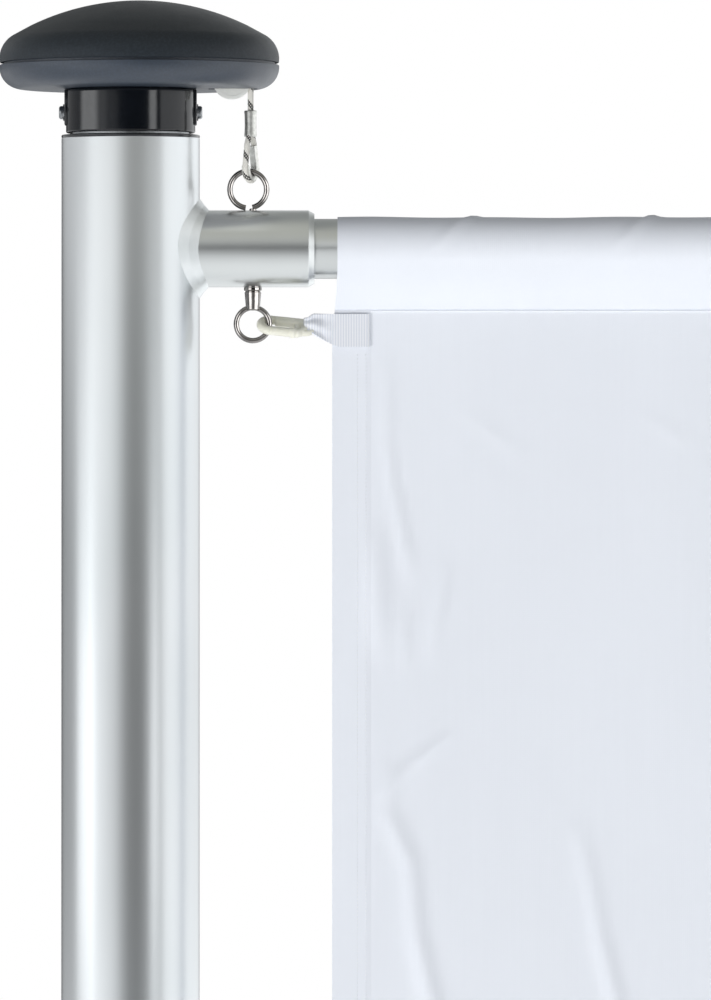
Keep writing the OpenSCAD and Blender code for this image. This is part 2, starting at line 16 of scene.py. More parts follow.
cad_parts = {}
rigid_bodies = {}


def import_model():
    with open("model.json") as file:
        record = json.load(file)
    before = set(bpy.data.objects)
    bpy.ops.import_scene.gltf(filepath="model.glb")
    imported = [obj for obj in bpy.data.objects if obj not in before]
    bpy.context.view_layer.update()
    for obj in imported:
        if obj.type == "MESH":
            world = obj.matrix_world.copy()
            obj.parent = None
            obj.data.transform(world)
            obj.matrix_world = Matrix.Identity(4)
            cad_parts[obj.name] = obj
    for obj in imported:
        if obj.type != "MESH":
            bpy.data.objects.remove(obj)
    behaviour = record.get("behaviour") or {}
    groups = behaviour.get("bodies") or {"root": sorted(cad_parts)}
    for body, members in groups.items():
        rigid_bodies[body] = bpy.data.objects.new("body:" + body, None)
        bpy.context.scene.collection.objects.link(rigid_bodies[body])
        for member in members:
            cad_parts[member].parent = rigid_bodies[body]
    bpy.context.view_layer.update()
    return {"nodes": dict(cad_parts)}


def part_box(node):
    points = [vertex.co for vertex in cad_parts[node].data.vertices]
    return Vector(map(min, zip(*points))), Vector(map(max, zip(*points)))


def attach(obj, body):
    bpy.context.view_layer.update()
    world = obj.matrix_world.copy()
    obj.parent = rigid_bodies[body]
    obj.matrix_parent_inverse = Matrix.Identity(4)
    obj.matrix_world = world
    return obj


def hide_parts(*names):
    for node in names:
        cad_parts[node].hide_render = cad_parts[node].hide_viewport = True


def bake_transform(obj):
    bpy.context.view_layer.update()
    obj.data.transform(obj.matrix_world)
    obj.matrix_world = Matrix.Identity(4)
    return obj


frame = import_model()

LOG = logging.getLogger("flagpole")

MM = 0.001
TURN = 2 * math.pi
# points closer than this are one point
MERGE = 1e-6
ALONG_X = Vector((1, 0, 0))
ALONG_Y = Vector((0, 1, 0))
ALONG_Z = Vector((0, 0, 1))
# length of halyard that one strand takes to go once round, and its strands each way
ROPE_LAY, ROPE_STRANDS = 13 * MM, 6
# distance between the webbing's ribs
WEBBING_RIB = 1.7 * MM
Point = tuple[float, float]
Vec3 = tuple[float, float, float]
Piece = bpy.types.Object
Tree = bpy.types.NodeTree
Socket = bpy.types.NodeSocket
Layers = tuple[Socket, Socket, Socket]


def low(node: str) -> Vector:
    """Lowest corner of a CAD node."""
    return Vector(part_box(node)[0])


def high(node: str) -> Vector:
    """Highest corner of a CAD node."""
    return Vector(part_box(node)[1])


def middle(node: str) -> Vector:
    """Centre of a CAD node's box."""
    return (low(node) + high(node)) / 2


def size(node: str) -> Vector:
    """Extent of a CAD node's box."""
    return high(node) - low(node)


def smoothstep(value: float) -> float:
    """Eases a value from 0 to 1, held at its ends."""
    t = min(max(value, 0.0), 1.0)
    return t * t * (3 - 2 * t)


def arc(centre: Point, radius: float, start: float, end: float, steps: int) -> list[Point]:
    """Points along an arc in an outline's plane.

    Args:
        centre: Centre of the arc.
        radius: Radius of the arc.
        start: First angle in degrees, counted from the outline's first axis.
        end: Last angle in degrees.
        steps: Number of straight steps.

    Returns:
        The points, both ends included.
    """
    angles = [math.radians(start + (end - start) * i / steps) for i in range(steps + 1)]
    return [(centre[0] + radius * math.cos(a), centre[1] + radius * math.sin(a)) for a in angles]


# ---------------------------------------------------------------------------------------------
# Materials


def linear(colour: str) -> tuple[float, float, float, float]:
    """Turns an sRGB hex colour to linear RGBA.

    Args:
        colour: Hex colour such as "#c8ccd0".

    Returns:
        The linear colour with an alpha of 1.
    """
    parts = [int(colour[i:i + 2], 16) / 255 for i in (1, 3, 5)]
    return (*(p / 12.92 if p <= 0.04045 else ((p + 0.055) / 1.055) ** 2.4 for p in parts), 1.0)


def add_node(tree: Tree, kind: str, inputs: dict | Sequence = (), out: int | str = 0,
             **settings: object) -> Socket:
    """Adds a node with its settings and links.

    Args:
        tree: Node tree of a material or the world.
        kind: Blender's name for the node, after "ShaderNode".
        inputs: Values, or sockets to link from, in the sockets' order or by their names or numbers.
        out: Name or number of the output that is wanted.
        settings: Attributes of the node.

    Returns:
        That output.
    """
    node = tree.nodes.new("ShaderNode" + kind)
    for key, value in settings.items():
        setattr(node, key, value)
    for key, value in inputs.items() if isinstance(inputs, dict) else enumerate(inputs):
        if isinstance(value, Socket):
            tree.links.new(value, node.inputs[key])
        else:
            node.inputs[key].default_value = value
    return node.outputs[out]


# Map Range nodes with this ease a value from 0 to 1 between two limits
EASED = {"interpolation_type": "SMOOTHSTEP"}


class Pattern(Enum):
    """How a surface was made, which decides its fine relief and variation."""

    EXTRUDED_UP = "fine die lines along Z"
    EXTRUDED_ACROSS = "fine die lines along X"
    GRAINED = "spark-eroded mould grain"
    MOULDED = "smooth moulded plastic"
    POLISHED = "polished wire with faint drawing marks"
    CAST = "dull, slightly worn metal"
    GALVANISED = "zinc spangle"
    BRAIDED = "twelve-strand braid with dark tracers"
    RIBBED = "ribbed narrow weave"
    KNITTED = "fine knitted polyester"
    PLAIN_FLOOR = "painted floor"


@dataclass(frozen=True)
class Finish:
    """A material, from what the real surface is.

    Attributes:
        name: The material's common name and how it was made.
        colour: Main colour, sRGB hex.
        second: Colour of the pattern's other side, sRGB hex.
        roughness: Roughness of the surface.
        pattern: How the surface was made.
        metallic: 1 for a bare metal.
        ior: Index of refraction, which a metal leaves at the default.
        spread: How far the roughness varies about its value.
        relief: Height of the fine relief in metres.
        scatter: Share of light that enters the surface and comes out again.
        scatter_reach: Reach of that light in metres.
        sheen: Fuzz of loose fibres.
        specular: Strength of the skin's reflection, under 0.5 where dust and grain break it up.
    """

    name: str
    colour: str
    second: str
    roughness: float
    pattern: Pattern
    metallic: float = 0.0
    ior: float = 1.5
    spread: float = 0.05
    relief: float = 0.00002
    scatter: float = 0.0
    scatter_reach: float = 0.002
    sheen: float = 0.0
    specular: float = 0.5

    def build(self) -> bpy.types.Material:
        """Makes the material once, and gives the same one after that."""
        known = bpy.data.materials.get(self.name)
        return known if known else self._make()

    def _make(self) -> bpy.types.Material:
        """Builds the node tree: pattern, colour, roughness, relief, surface."""
        material = bpy.data.materials.new(self.name)
        material.use_nodes = True
        tree = material.node_tree
        shader = tree.nodes["Principled BSDF"]
        place = add_node(tree, "TexCoord", out="Object")
        shade, height, gloss = PATTERNS[self.pattern](tree, place)
        tint = add_node(tree, "Mix", {0: shade, 6: linear(self.colour), 7: linear(self.second)}, 2,
                        data_type="RGBA")
        rough = add_node(tree, "MapRange", {"Value": gloss, "To Min": self.roughness - self.spread,
                                            "To Max": self.roughness + self.spread})
        bump = add_node(tree, "Bump", {"Height": height, "Distance": self.relief})
        for key, value in (("Base Color", tint), ("Roughness", rough), ("Normal", bump)):
            tree.links.new(value, shader.inputs[key])
        for key, value in (("Metallic", self.metallic), ("IOR", self.ior),
                           ("Subsurface Weight", self.scatter), ("Subsurface Radius", (1.0, 1.0, 1.0)),
                           ("Subsurface Scale", self.scatter_reach), ("Sheen Weight", self.sheen),
                           ("Sheen Roughness", 0.5), ("Specular IOR Level", self.specular)):
            shader.inputs[key].default_value = value
        material.diffuse_color = linear(self.colour)
        return material


def noise(tree: Tree, place: Socket, pitch: float, detail: float = 2.0, stretch: Vec3 = (1, 1, 1)) -> Socket:
    """Soft noise with a real size.

    Args:
        tree: Node tree.
        place: Coordinates in metres.
        pitch: Size of one blotch in metres.
        detail: Octaves of finer noise.
        stretch: How many times longer the blotches are along X, Y and Z.

    Returns:
        The noise, about 0.5 on average.
    """
    laid = add_node(tree, "Mapping", {"Vector": place, "Scale": tuple(1 / s for s in stretch)})
    return add_node(tree, "TexNoise", {"Vector": laid, "Scale": 1 / pitch, "Detail": detail,
                                       "Roughness": 0.55})


def piece_map(tree: Tree) -> tuple[Socket, Socket]:
    """The two directions of a piece's own map."""
    split = add_node(tree, "SeparateXYZ", (add_node(tree, "UVMap", uv_map="UVMap"),)).node
    return split.outputs[0], split.outputs[1]


def threads(tree: Tree, value: Socket, pitch: float) -> Socket:
    """Ridges from 0 to 0.5 in height, one at each pitch."""
    count = add_node(tree, "Math", (value, 1 / pitch), operation="MULTIPLY")
    return add_node(tree, "Math", (count, 0.5), operation="PINGPONG")


def die_lines(stretch: Vec3) -> Callable[[Tree, Socket], Layers]:
    """Pattern of an extruded tube.

    Args:
        stretch: Lengthening of the lines along X, Y and Z.

    Returns:
        A function that adds the pattern's nodes. The die leaves lines about 0.4 mm apart, and the
        satin etch under the oxide leaves a grit of about 0.1 mm; both are drawn about twice as coarse.
    """
    def add(tree: Tree, place: Socket) -> Layers:
        """Adds the die lines and the etch."""
        lines = noise(tree, place, 0.8 * MM, 1.0, stretch)
        etch = noise(tree, place, 0.25 * MM)
        cloud = noise(tree, place, 60 * MM, stretch=(1, 1, 3))
        height = add_node(tree, "Math", (etch, 0.5, lines), operation="MULTIPLY_ADD")
        return add_node(tree, "MapRange", (cloud, 0.3, 0.7), **EASED), height, lines
    return add


def grained(tree: Tree, place: Socket) -> Layers:
    """Spark-eroded mould grain, about 0.3 mm, drawn at 0.8 mm, with faint handling marks."""
    cells = add_node(tree, "TexVoronoi", {"Vector": place, "Scale": 1 / (0.8 * MM)}, feature="SMOOTH_F1")
    dust = noise(tree, place, 1.6 * MM, 4.0)
    height = add_node(tree, "Math", (cells, noise(tree, place, 0.35 * MM)), operation="ADD")
    return add_node(tree, "MapRange", (dust, 0.35, 0.75), **EASED), height, noise(tree, place, 14 * MM, 4.0)


def plain(blotch: float, detail: float, limits: Point, relief: tuple[float, float, Vec3],
          gloss: Optional[Point] = None) -> Callable[[Tree, Socket], Layers]:
    """Pattern made of noise alone.

    Args:
        blotch: Size of the blotches of colour in metres.
        detail: Octaves of finer noise in them.
        limits: Values of the noise at which the first and the second colour are pure.
        relief: Size, octaves and stretch of the relief.
        gloss: Size and octaves of the roughness's variation, or None where it follows the relief.

    Returns:
        A function that adds the pattern's nodes.
    """
    def add(tree: Tree, place: Socket) -> Layers:
        """Adds the relief, the blotches and the variation in roughness."""
        height = noise(tree, place, *relief)
        shade = add_node(tree, "MapRange", (noise(tree, place, blotch, detail), *limits), **EASED)
        return shade, height, noise(tree, place, *gloss) if gloss else height
    return add


def galvanised(tree: Tree, place: Socket) -> Layers:
    """Zinc spangle: crystals 8 to 15 mm across, each with its own tone."""
    drift = add_node(tree, "TexNoise", {"Vector": place, "Scale": 1 / (9 * MM), "Detail": 3.0}, "Color")
    bent = add_node(tree, "Mix", {0: 0.004, 4: place, 5: drift}, 1, data_type="VECTOR")
    cells = add_node(tree, "TexVoronoi", {"Vector": bent, "Scale": 1 / (11 * MM)}, "Color")
    tone = add_node(tree, "SeparateColor", (cells,))
    return tone, noise(tree, place, 1.5 * MM, 4.0), tone


def braided(tree: Tree, place: Socket) -> Layers:
    """Twelve-strand braid, half the strands each way, two of those dark tracers that show as flecks."""
    across, along = piece_map(tree)
    turns = add_node(tree, "Math", (along, 1 / ROPE_LAY), operation="MULTIPLY")
    phases, waves = [], []
    for how in ("ADD", "SUBTRACT"):
        spiral = add_node(tree, "Math", (across, turns), operation=how)
        phases.append(add_node(tree, "Math", (spiral, float(ROPE_STRANDS)), operation="MULTIPLY"))
        wave = add_node(tree, "Math", (phases[-1], 0.5), operation="PINGPONG")
        waves.append(add_node(tree, "Math", (wave, 2.0), operation="MULTIPLY"))
    raised = add_node(tree, "Math", (waves[0], 0.3), operation="ADD")
    over = add_node(tree, "Math", (raised, waves[1]), operation="GREATER_THAN")
    number = add_node(tree, "Math", (phases[0],), operation="FLOOR")
    strand = add_node(tree, "Math", (number, float(ROPE_STRANDS)), operation="FLOORED_MODULO")
    tracer = add_node(tree, "Math", (strand, 1.5), operation="LESS_THAN")
    seen = add_node(tree, "Math", (tracer, over), operation="MULTIPLY")
    fleck = add_node(tree, "Math", (seen, 0.97), operation="MULTIPLY")
    return fleck, add_node(tree, "Math", waves, operation="MAXIMUM"), noise(tree, place, 0.6 * MM)


def ribbed(tree: Tree, place: Socket) -> Layers:
    """Narrow weave whose weft ribs run across it, with yarns about 0.5 mm wide between them."""
    across, along = piece_map(tree)
    rib, yarn = threads(tree, across, WEBBING_RIB), threads(tree, along, 1.0 * MM)
    weave = add_node(tree, "Math", (yarn, 0.5, rib), operation="MULTIPLY_ADD")
    return add_node(tree, "MapRange", (rib, 0.48, 0.10), **EASED), weave, noise(tree, place, 1 * MM)


def knitted(tree: Tree, place: Socket) -> Layers:
    """Warp-knitted cloth: wales 0.6 mm apart, drawn at 1.3 mm, crossed by courses, with a slow haze."""
    wale, course = (threads(tree, way, 1.3 * MM) for way in piece_map(tree))
    bands = noise(tree, place, 1.8 * MM, 1.0, stretch=(1, 1, 60))
    haze = noise(tree, place, 90 * MM, 3.0, stretch=(1, 1, 2.5))
    faint = add_node(tree, "Math", (bands, 0.2), operation="MULTIPLY")
    mixed = add_node(tree, "Math", (haze, 0.8, faint), operation="MULTIPLY_ADD")
    height = add_node(tree, "Math", (course, 0.5, wale), operation="MULTIPLY_ADD")
    return add_node(tree, "MapRange", (mixed, 0.35, 0.65), **EASED), height, bands


PATTERNS: dict[Pattern, Callable[[Tree, Socket], Layers]] = {
    Pattern.EXTRUDED_UP: die_lines((1, 1, 400)),
    Pattern.EXTRUDED_ACROSS: die_lines((400, 1, 1)),
    Pattern.GRAINED: grained,
    # slow waviness that shrinkage leaves
    Pattern.MOULDED: plain(20 * MM, 3.0, (0.35, 0.7), (9 * MM, 1.0, (1, 1, 1)), (3 * MM, 3.0)),
    # fine drawing scratches
    Pattern.POLISHED: plain(5 * MM, 2.0, (0.3, 0.7), (0.3 * MM, 2.0, (1, 1, 5)), (1.5 * MM, 3.0)),
    # rubbed high spots about 2 mm across
    Pattern.CAST: plain(2.5 * MM, 4.0, (0.4, 0.65), (0.7 * MM, 4.0, (1, 1, 1))),
    Pattern.GALVANISED: galvanised,
    Pattern.BRAIDED: braided,
    Pattern.RIBBED: ribbed,
    Pattern.KNITTED: knitted,
    # faint roller texture
    Pattern.PLAIN_FLOOR: plain(1.5, 2.0, (0.3, 0.7), (4 * MM, 2.0, (1, 1, 1))),
}

# Satin etched and clear anodised aluminium: soft, wide highlights and a faint cool tone
MAST_ALUMINIUM = Finish("anodised_aluminium_extruded", "#d3d6d8", "#cdd1d3", 0.30, Pattern.EXTRUDED_UP,
                        metallic=1.0, spread=0.03, relief=0.000006)
# The same oxide on the arm's tubes, whose die lines run along the arm
ARM_ALUMINIUM = Finish("anodised_aluminium_arm", "#d3d6d6", "#ced1d1", 0.30, Pattern.EXTRUDED_ACROSS,
                       metallic=1.0, spread=0.03, relief=0.000006)
# Ground aluminium weld, a little rougher than the tubes and as bright
WELD_ALUMINIUM = Finish("aluminium_weld_dressed", "#d6d9da", "#cdd1d2", 0.40, Pattern.MOULDED,
                        metallic=1.0, spread=0.03, relief=0.00001)
# Charcoal polypropylene of the dome, with painted shade: coloured darker and made duller than the dish, for
# the dark ceiling above it
DOME_PLASTIC_PAINTED_SHADE = Finish("polypropylene_weathered", "#1e242a", "#262d34", 0.48, Pattern.GRAINED,
                      ior=1.49, specular=0.30, spread=0.06, relief=0.00006)
# The same plastic on the dish, with painted light: coloured lighter and bluer and made shinier than the
# dome, for the light that reaches it from below
DISH_PLASTIC_PAINTED_LIGHT = Finish("polypropylene_grained", "#232d3a", "#2a3544", 0.42, Pattern.GRAINED,
                      ior=1.49, specular=0.8, spread=0.07, relief=0.00006)
# Black glass-filled nylon, turned smooth: sharp upright reflections
NECK_PLASTIC = Finish("nylon_black_moulded", "#080c12", "#0c1017", 0.13, Pattern.MOULDED,
                      ior=1.53, spread=0.04, relief=0.00004)
# Natural acetal of the sheaves: white with a slight glow
ACETAL = Finish("acetal_white_moulded", "#f2f3f0", "#e6e8e4", 0.32, Pattern.MOULDED,
                ior=1.48, scatter=0.2)
# Natural nylon of the snap hook: cream and translucent, so its thin parts look lighter
HOOK_NYLON = Finish("nylon_natural_moulded", "#f1f0e4", "#e4e3d3", 0.30, Pattern.MOULDED,
                    ior=1.53, scatter=0.45, scatter_reach=0.003, relief=0.00003)
# Bright drawn stainless wire: dark and bright stripes from the room and the two cards
STAINLESS = Finish("stainless_steel_polished", "#8c8987", "#7a7775", 0.10, Pattern.POLISHED,
                   metallic=1.0, spread=0.04, relief=0.000008)
# Zinc-plated screws, greyer than stainless
SCREW_STEEL = Finish("steel_zinc_plated", "#a3a5a7", "#7f8285", 0.28, Pattern.CAST,
                     metallic=1.0, spread=0.06, relief=0.00001)
# Soft pressed aluminium of the ferrule, dulled by the press and by handling
FERRULE_ALUMINIUM = Finish("aluminium_pressed", "#dededa", "#cbccc7", 0.40, Pattern.CAST,
                           metallic=1.0, spread=0.08, relief=0.00003)
# Hot-dip galvanised steel: grey with crystal spangle
GALVANISED_STEEL = Finish("steel_galvanised", "#b9bec1", "#9ba1a5", 0.42, Pattern.GALVANISED,
                          metallic=1.0, spread=0.09, relief=0.00006)
# Braided polyester halyard: off-white yarn with a dark tracer strand
ROPE_POLYESTER = Finish("polyester_braid", "#efede6", "#1c1d20", 0.75, Pattern.BRAIDED,
                        ior=1.58, relief=0.00018, sheen=0.2)
# Woven polyester webbing: matt, with shadow between its ribs
WEBBING_POLYESTER = Finish("polyester_webbing", "#f4f6fb", "#dfe3ec", 0.78, Pattern.RIBBED,
                           ior=1.58, relief=0.0001, sheen=0.2)
# Knitted polyester flag cloth: cool white, slightly sheer, with a dry sheen
BANNER_POLYESTER = Finish("polyester_knit", "#eff3fb", "#edf1f9", 0.62, Pattern.KNITTED,
                          ior=1.58, spread=0.04, relief=0.00005, sheen=0.15)
# Sewing thread, a little glossier than the cloth
THREAD = Finish("polyester_thread", "#f6f8fc", "#e8ebf2", 0.5, Pattern.MOULDED, ior=1.58)
# Pale matt floor paint
FLOOR_PAINT = Finish("paint_floor_matt", "#f2f2f1", "#efefee", 0.7, Pattern.PLAIN_FLOOR, relief=0.00005)


# ---------------------------------------------------------------------------------------------
# Modelling by hand


def clear_selection() -> None:
    """Goes to object mode with nothing selected."""
    if bpy.context.mode != "OBJECT":
        bpy.ops.object.mode_set(mode="OBJECT")
    bpy.ops.object.select_all(action="DESELECT")


def pick(*pieces: Piece) -> Piece:
    """Selects these pieces and nothing else, and makes the first one active."""
    clear_selection()
    for piece in pieces:
        piece.select_set(True)
    bpy.context.view_layer.objects.active = pieces[0]
    return pieces[0]


def settle(name: str) -> Piece:
    """Leaves edit mode, names the active piece and puts its place into its mesh."""
    bpy.ops.object.mode_set(mode="OBJECT")
    piece = bpy.context.view_layer.objects.active
    pick(piece)
    bpy.ops.object.transform_apply(location=True, rotation=True, scale=True)
    piece.name = name
    piece.data.name = name
    return piece


def close_skin() -> None:
    """In edit mode, merges doubled points and turns every face outwards."""
    bpy.ops.mesh.select_all(action="SELECT")
    bpy.ops.mesh.remove_doubles(threshold=MERGE)
    bpy.ops.mesh.normals_make_consistent(inside=False)


def smooth(piece: Piece, angle: float = 32) -> Piece:
    """Shades a piece smooth, with edges sharper than the angle kept."""
    pick(piece)
    bpy.ops.object.shade_smooth_by_angle(angle=math.radians(angle))
    return piece


def modify(piece: Piece, kind: str, **settings: object) -> Piece:
    """Adds a modifier to a piece and applies it."""
    pick(piece)
    modifier = piece.modifiers.new(kind.lower(), kind)
    for key, value in settings.items():
        setattr(modifier, key, value)
    bpy.ops.object.modifier_apply(modifier=modifier.name)
    return piece


def bevel(piece: Piece, width: float, segments: int = 2, angle: float = 40) -> Piece:
    """Rounds the edges that are sharper than the angle."""
    return modify(piece, "BEVEL", width=width, segments=segments, limit_method="ANGLE",
                  angle_limit=math.radians(angle), use_clamp_overlap=True)


def cut(piece: Piece, *cutters: Piece) -> Piece:
    """Takes the cutters' shapes out of a piece."""
    for cutter in cutters:
        modify(piece, "BOOLEAN", object=cutter, solver="EXACT", operation="DIFFERENCE")
        bpy.data.objects.remove(cutter)
    return piece


def join(name: str, *pieces: Piece) -> Piece:
    """Joins pieces into the first one."""
    piece = pick(*pieces)
    if len(pieces) > 1:
        bpy.ops.object.join()
    piece.name = name
    piece.data.name = name
    return piece


def copy_of(piece: Piece, name: str, move: Matrix) -> Piece:
    """Copies a piece with its own mesh, moved by a matrix."""
    twin = piece.copy()
    twin.data = piece.data.copy()
    twin.data.transform(move)
    twin.name = name
    bpy.context.scene.collection.objects.link(twin)
    return twin


def draw_line(spots: Sequence[Vector]) -> None:
    """Draws a new mesh's outline in edit mode, point by point, and selects it."""
    clear_selection()
    bpy.ops.mesh.primitive_plane_add(size=2 * MM, location=spots[0])
    bpy.ops.object.mode_set(mode="EDIT")
    bpy.ops.mesh.select_all(action="SELECT")
    bpy.ops.mesh.merge(type="CENTER")
    for here, there in zip(spots, spots[1:]):
        bpy.ops.mesh.extrude_vertices_move(TRANSFORM_OT_translate={"value": there - here})
    bpy.ops.mesh.select_all(action="SELECT")


def mapped_mesh() -> bmesh.types.BMesh:
    """An empty mesh with a map, to be filled by hand."""
    build = bmesh.new()
    build.loops.layers.uv.new("UVMap")
    return build


def weave(build: bmesh.types.BMesh, grid: Sequence[Sequence[bmesh.types.BMVert]],
          marks: Sequence[Sequence[Point]], flip: bool = False) -> None:
    """Fills a grid of points with faces.

    Args:
        build: The mesh, which has a map.
        grid: Points, row by row.
        marks: Each point's place in the map.
        flip: Whether the faces look the other way.
    """
    layer = build.loops.layers.uv["UVMap"]
    for i in range(len(grid) - 1):
        for j in range(len(grid[i]) - 1):
            ends = [(i, j + 1), (i + 1, j + 1), (i + 1, j)]
            corners = [(i, j), *(ends if flip else reversed(ends))]
            face = build.faces.new([grid[a][b] for a, b in corners])
            for loop, (a, b) in zip(face.loops, corners):
                loop[layer].uv = marks[a][b]


def finished(name: str, build: bmesh.types.BMesh, outwards: bool = False) -> Piece:
    """Turns a mesh made by hand into a piece of the scene, with its faces turned outwards where asked."""
    if outwards:
        bmesh.ops.recalc_face_normals(build, faces=build.faces)
    mesh = bpy.data.meshes.new(name)
    build.to_mesh(mesh)
    build.free()
    piece = bpy.data.objects.new(name, mesh)
    bpy.context.scene.collection.objects.link(piece)
    return piece


def lathe(name: str, outline: Iterable[Point], centre: Vector, axis: Vector = ALONG_Z,
          steps: int = 96) -> Piece:
    """Turns an outline about an axis, and closes it from its last point to its first.

    Args:
        name: Name of the piece.
        outline: Pairs of distance from the axis and height along it, in order.
        centre: Place on the axis where the height is 0.
        axis: Direction of the axis.
        steps: Faces round the piece.

    Returns:
        The piece, closed and smooth.
    """
    out = ALONG_Z if abs(axis.x) > 0.5 else ALONG_X
    spots = [centre + out * r + axis * h for r, h in outline]
    draw_line([*spots, spots[0]])
    bpy.ops.mesh.spin(steps=steps, angle=TURN, center=centre, axis=axis)
    close_skin()
    return smooth(settle(name))


def pipe_outline(outer: float, inner: float, length: float, rim: float) -> list[Point]:
    """Outline of a pipe from height 0 to its length, with its four rims rounded."""
    corners = [((outer - rim, rim), -90), ((outer - rim, length - rim), 0),
               ((inner + rim, length - rim), 90), ((inner + rim, rim), 180)]
    return [p for centre, start in corners for p in arc(centre, rim, start, start + 90, 3)]


def rod_outline(radius: float, length: float, rim: float, steps: int = 3) -> list[Point]:
    """Outline of a solid rod from height 0 to its length, with rounded ends."""
    return [(0, 0), *arc((radius - rim, rim), rim, -90, 0, steps),
            *arc((radius - rim, length - rim), rim, 0, 90, steps), (0, length)]


def bent_wire(name: str, centre: Vector, bend: float, wire: float, start: float, sweep: float,
              axis: Vector = ALONG_Y, sides: int = 24, steps: int = 72) -> Piece:
    """Bends a round wire about an axis along Y, with rounded ends.

    Args:
        name: Name of the piece.
        centre: Centre of the bend.
        bend: Radius of the bend, to the wire's centre.
        wire: Radius of the wire.
        start: Where the wire starts, in degrees from +X towards +Z.
        sweep: How far it goes, in degrees.
        axis: Axis of the bend.
        sides: Faces round the wire.
        steps: Steps along the bend.

    Returns:
        The wire as a closed piece.
    """
    angle = math.radians(start)
    spot = centre + Vector((math.cos(angle), 0, math.sin(angle))) * bend
    clear_selection()
    bpy.ops.mesh.primitive_circle_add(vertices=sides, radius=wire, location=spot,
                                      rotation=(0, -angle, 0), fill_type="NOTHING")
    bpy.ops.object.transform_apply(location=True, rotation=True, scale=True)
    bpy.ops.object.mode_set(mode="EDIT")
    bpy.ops.mesh.select_all(action="SELECT")
    bpy.ops.mesh.spin(steps=steps, angle=math.radians(sweep), center=centre, axis=axis)
    bpy.ops.mesh.select_all(action="SELECT")
    if sweep < 359:
        bpy.ops.mesh.select_non_manifold(extend=False)
        bpy.ops.mesh.fill_holes(sides=sides)
        bpy.ops.mesh.select_all(action="SELECT")
    close_skin()
    return smooth(settle(name))


def block(name: str, lowest: Vector, highest: Vector, rounding: float) -> Piece:
    """A block between two corners with its edges rounded."""
    clear_selection()
    bpy.ops.mesh.primitive_cube_add(size=1, location=(lowest + highest) / 2)
    bpy.context.view_layer.objects.active.scale = highest - lowest
    piece = settle(name)
    return bevel(piece, rounding, 3) if rounding > 0 else piece


def refined(node: str, rounding: float) -> Piece:
    """Copies a CAD node, merges its triangles and rounds its edges."""
    source = frame["nodes"][node]
    piece = source.copy()
    piece.data = source.data.copy()
    piece.parent = None
    piece.matrix_world = Matrix.Identity(4)
    bpy.context.scene.collection.objects.link(piece)
    piece.hide_render = False
    pick(piece)
    bpy.ops.object.mode_set(mode="EDIT")
    bpy.ops.mesh.select_all(action="SELECT")
    bpy.ops.mesh.remove_doubles(threshold=MERGE)
    bpy.ops.mesh.dissolve_limited(angle_limit=math.radians(1))
    return smooth(bevel(settle(node + "_fine"), rounding))


class Reporter:
    """Dresses finished pieces, seats them on their bodies and says so."""

    def dress(self, piece: Piece, finish: Finish, slot: str, *nodes: str) -> Piece:
        """Gives a piece its material and hides the CAD nodes that it stands for.

        Args:
            piece: The piece.
            finish: Its material.
            slot: The record's material slot; not used.
            nodes: CAD nodes that it stands for.

        Returns:
            The piece.
        """
        piece.data.materials.clear()
        piece.data.materials.append(finish.build())
        if nodes:
            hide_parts(*nodes)
        LOG.info("%s in %s", piece.name, finish.name)
        return piece

    def place(self, piece: Piece, body: str, finish: Finish, slot: str, *nodes: str) -> Piece:
        """Dresses a piece and seats it on a CAD body.

        Args:
            piece: The piece.
            body: The CAD body that it rides on.
            finish: Its material.
            slot: The record's material slot.
            nodes: CAD nodes that it stands for.

        Returns:
            The piece.
        """
        self.dress(piece, finish, slot, *nodes)
        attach(piece, body)
        return piece

    def keep(self, node: str, finish: Finish) -> None:
        """Gives a CAD node that stays a better material."""
        mesh = frame["nodes"][node].data
        mesh.materials.clear()
        mesh.materials.append(finish.build())
        LOG.info("%s kept, in %s", node, finish.name)


REPORTER = Reporter()


# ---------------------------------------------------------------------------------------------
# Sub-assemblies


def spigot_radius() -> float:
    """Radius of the neck's spigot, which the cap turns on, under the lip of its retaining ring."""
    return high("cap_retainer").x - 4.5 * MM


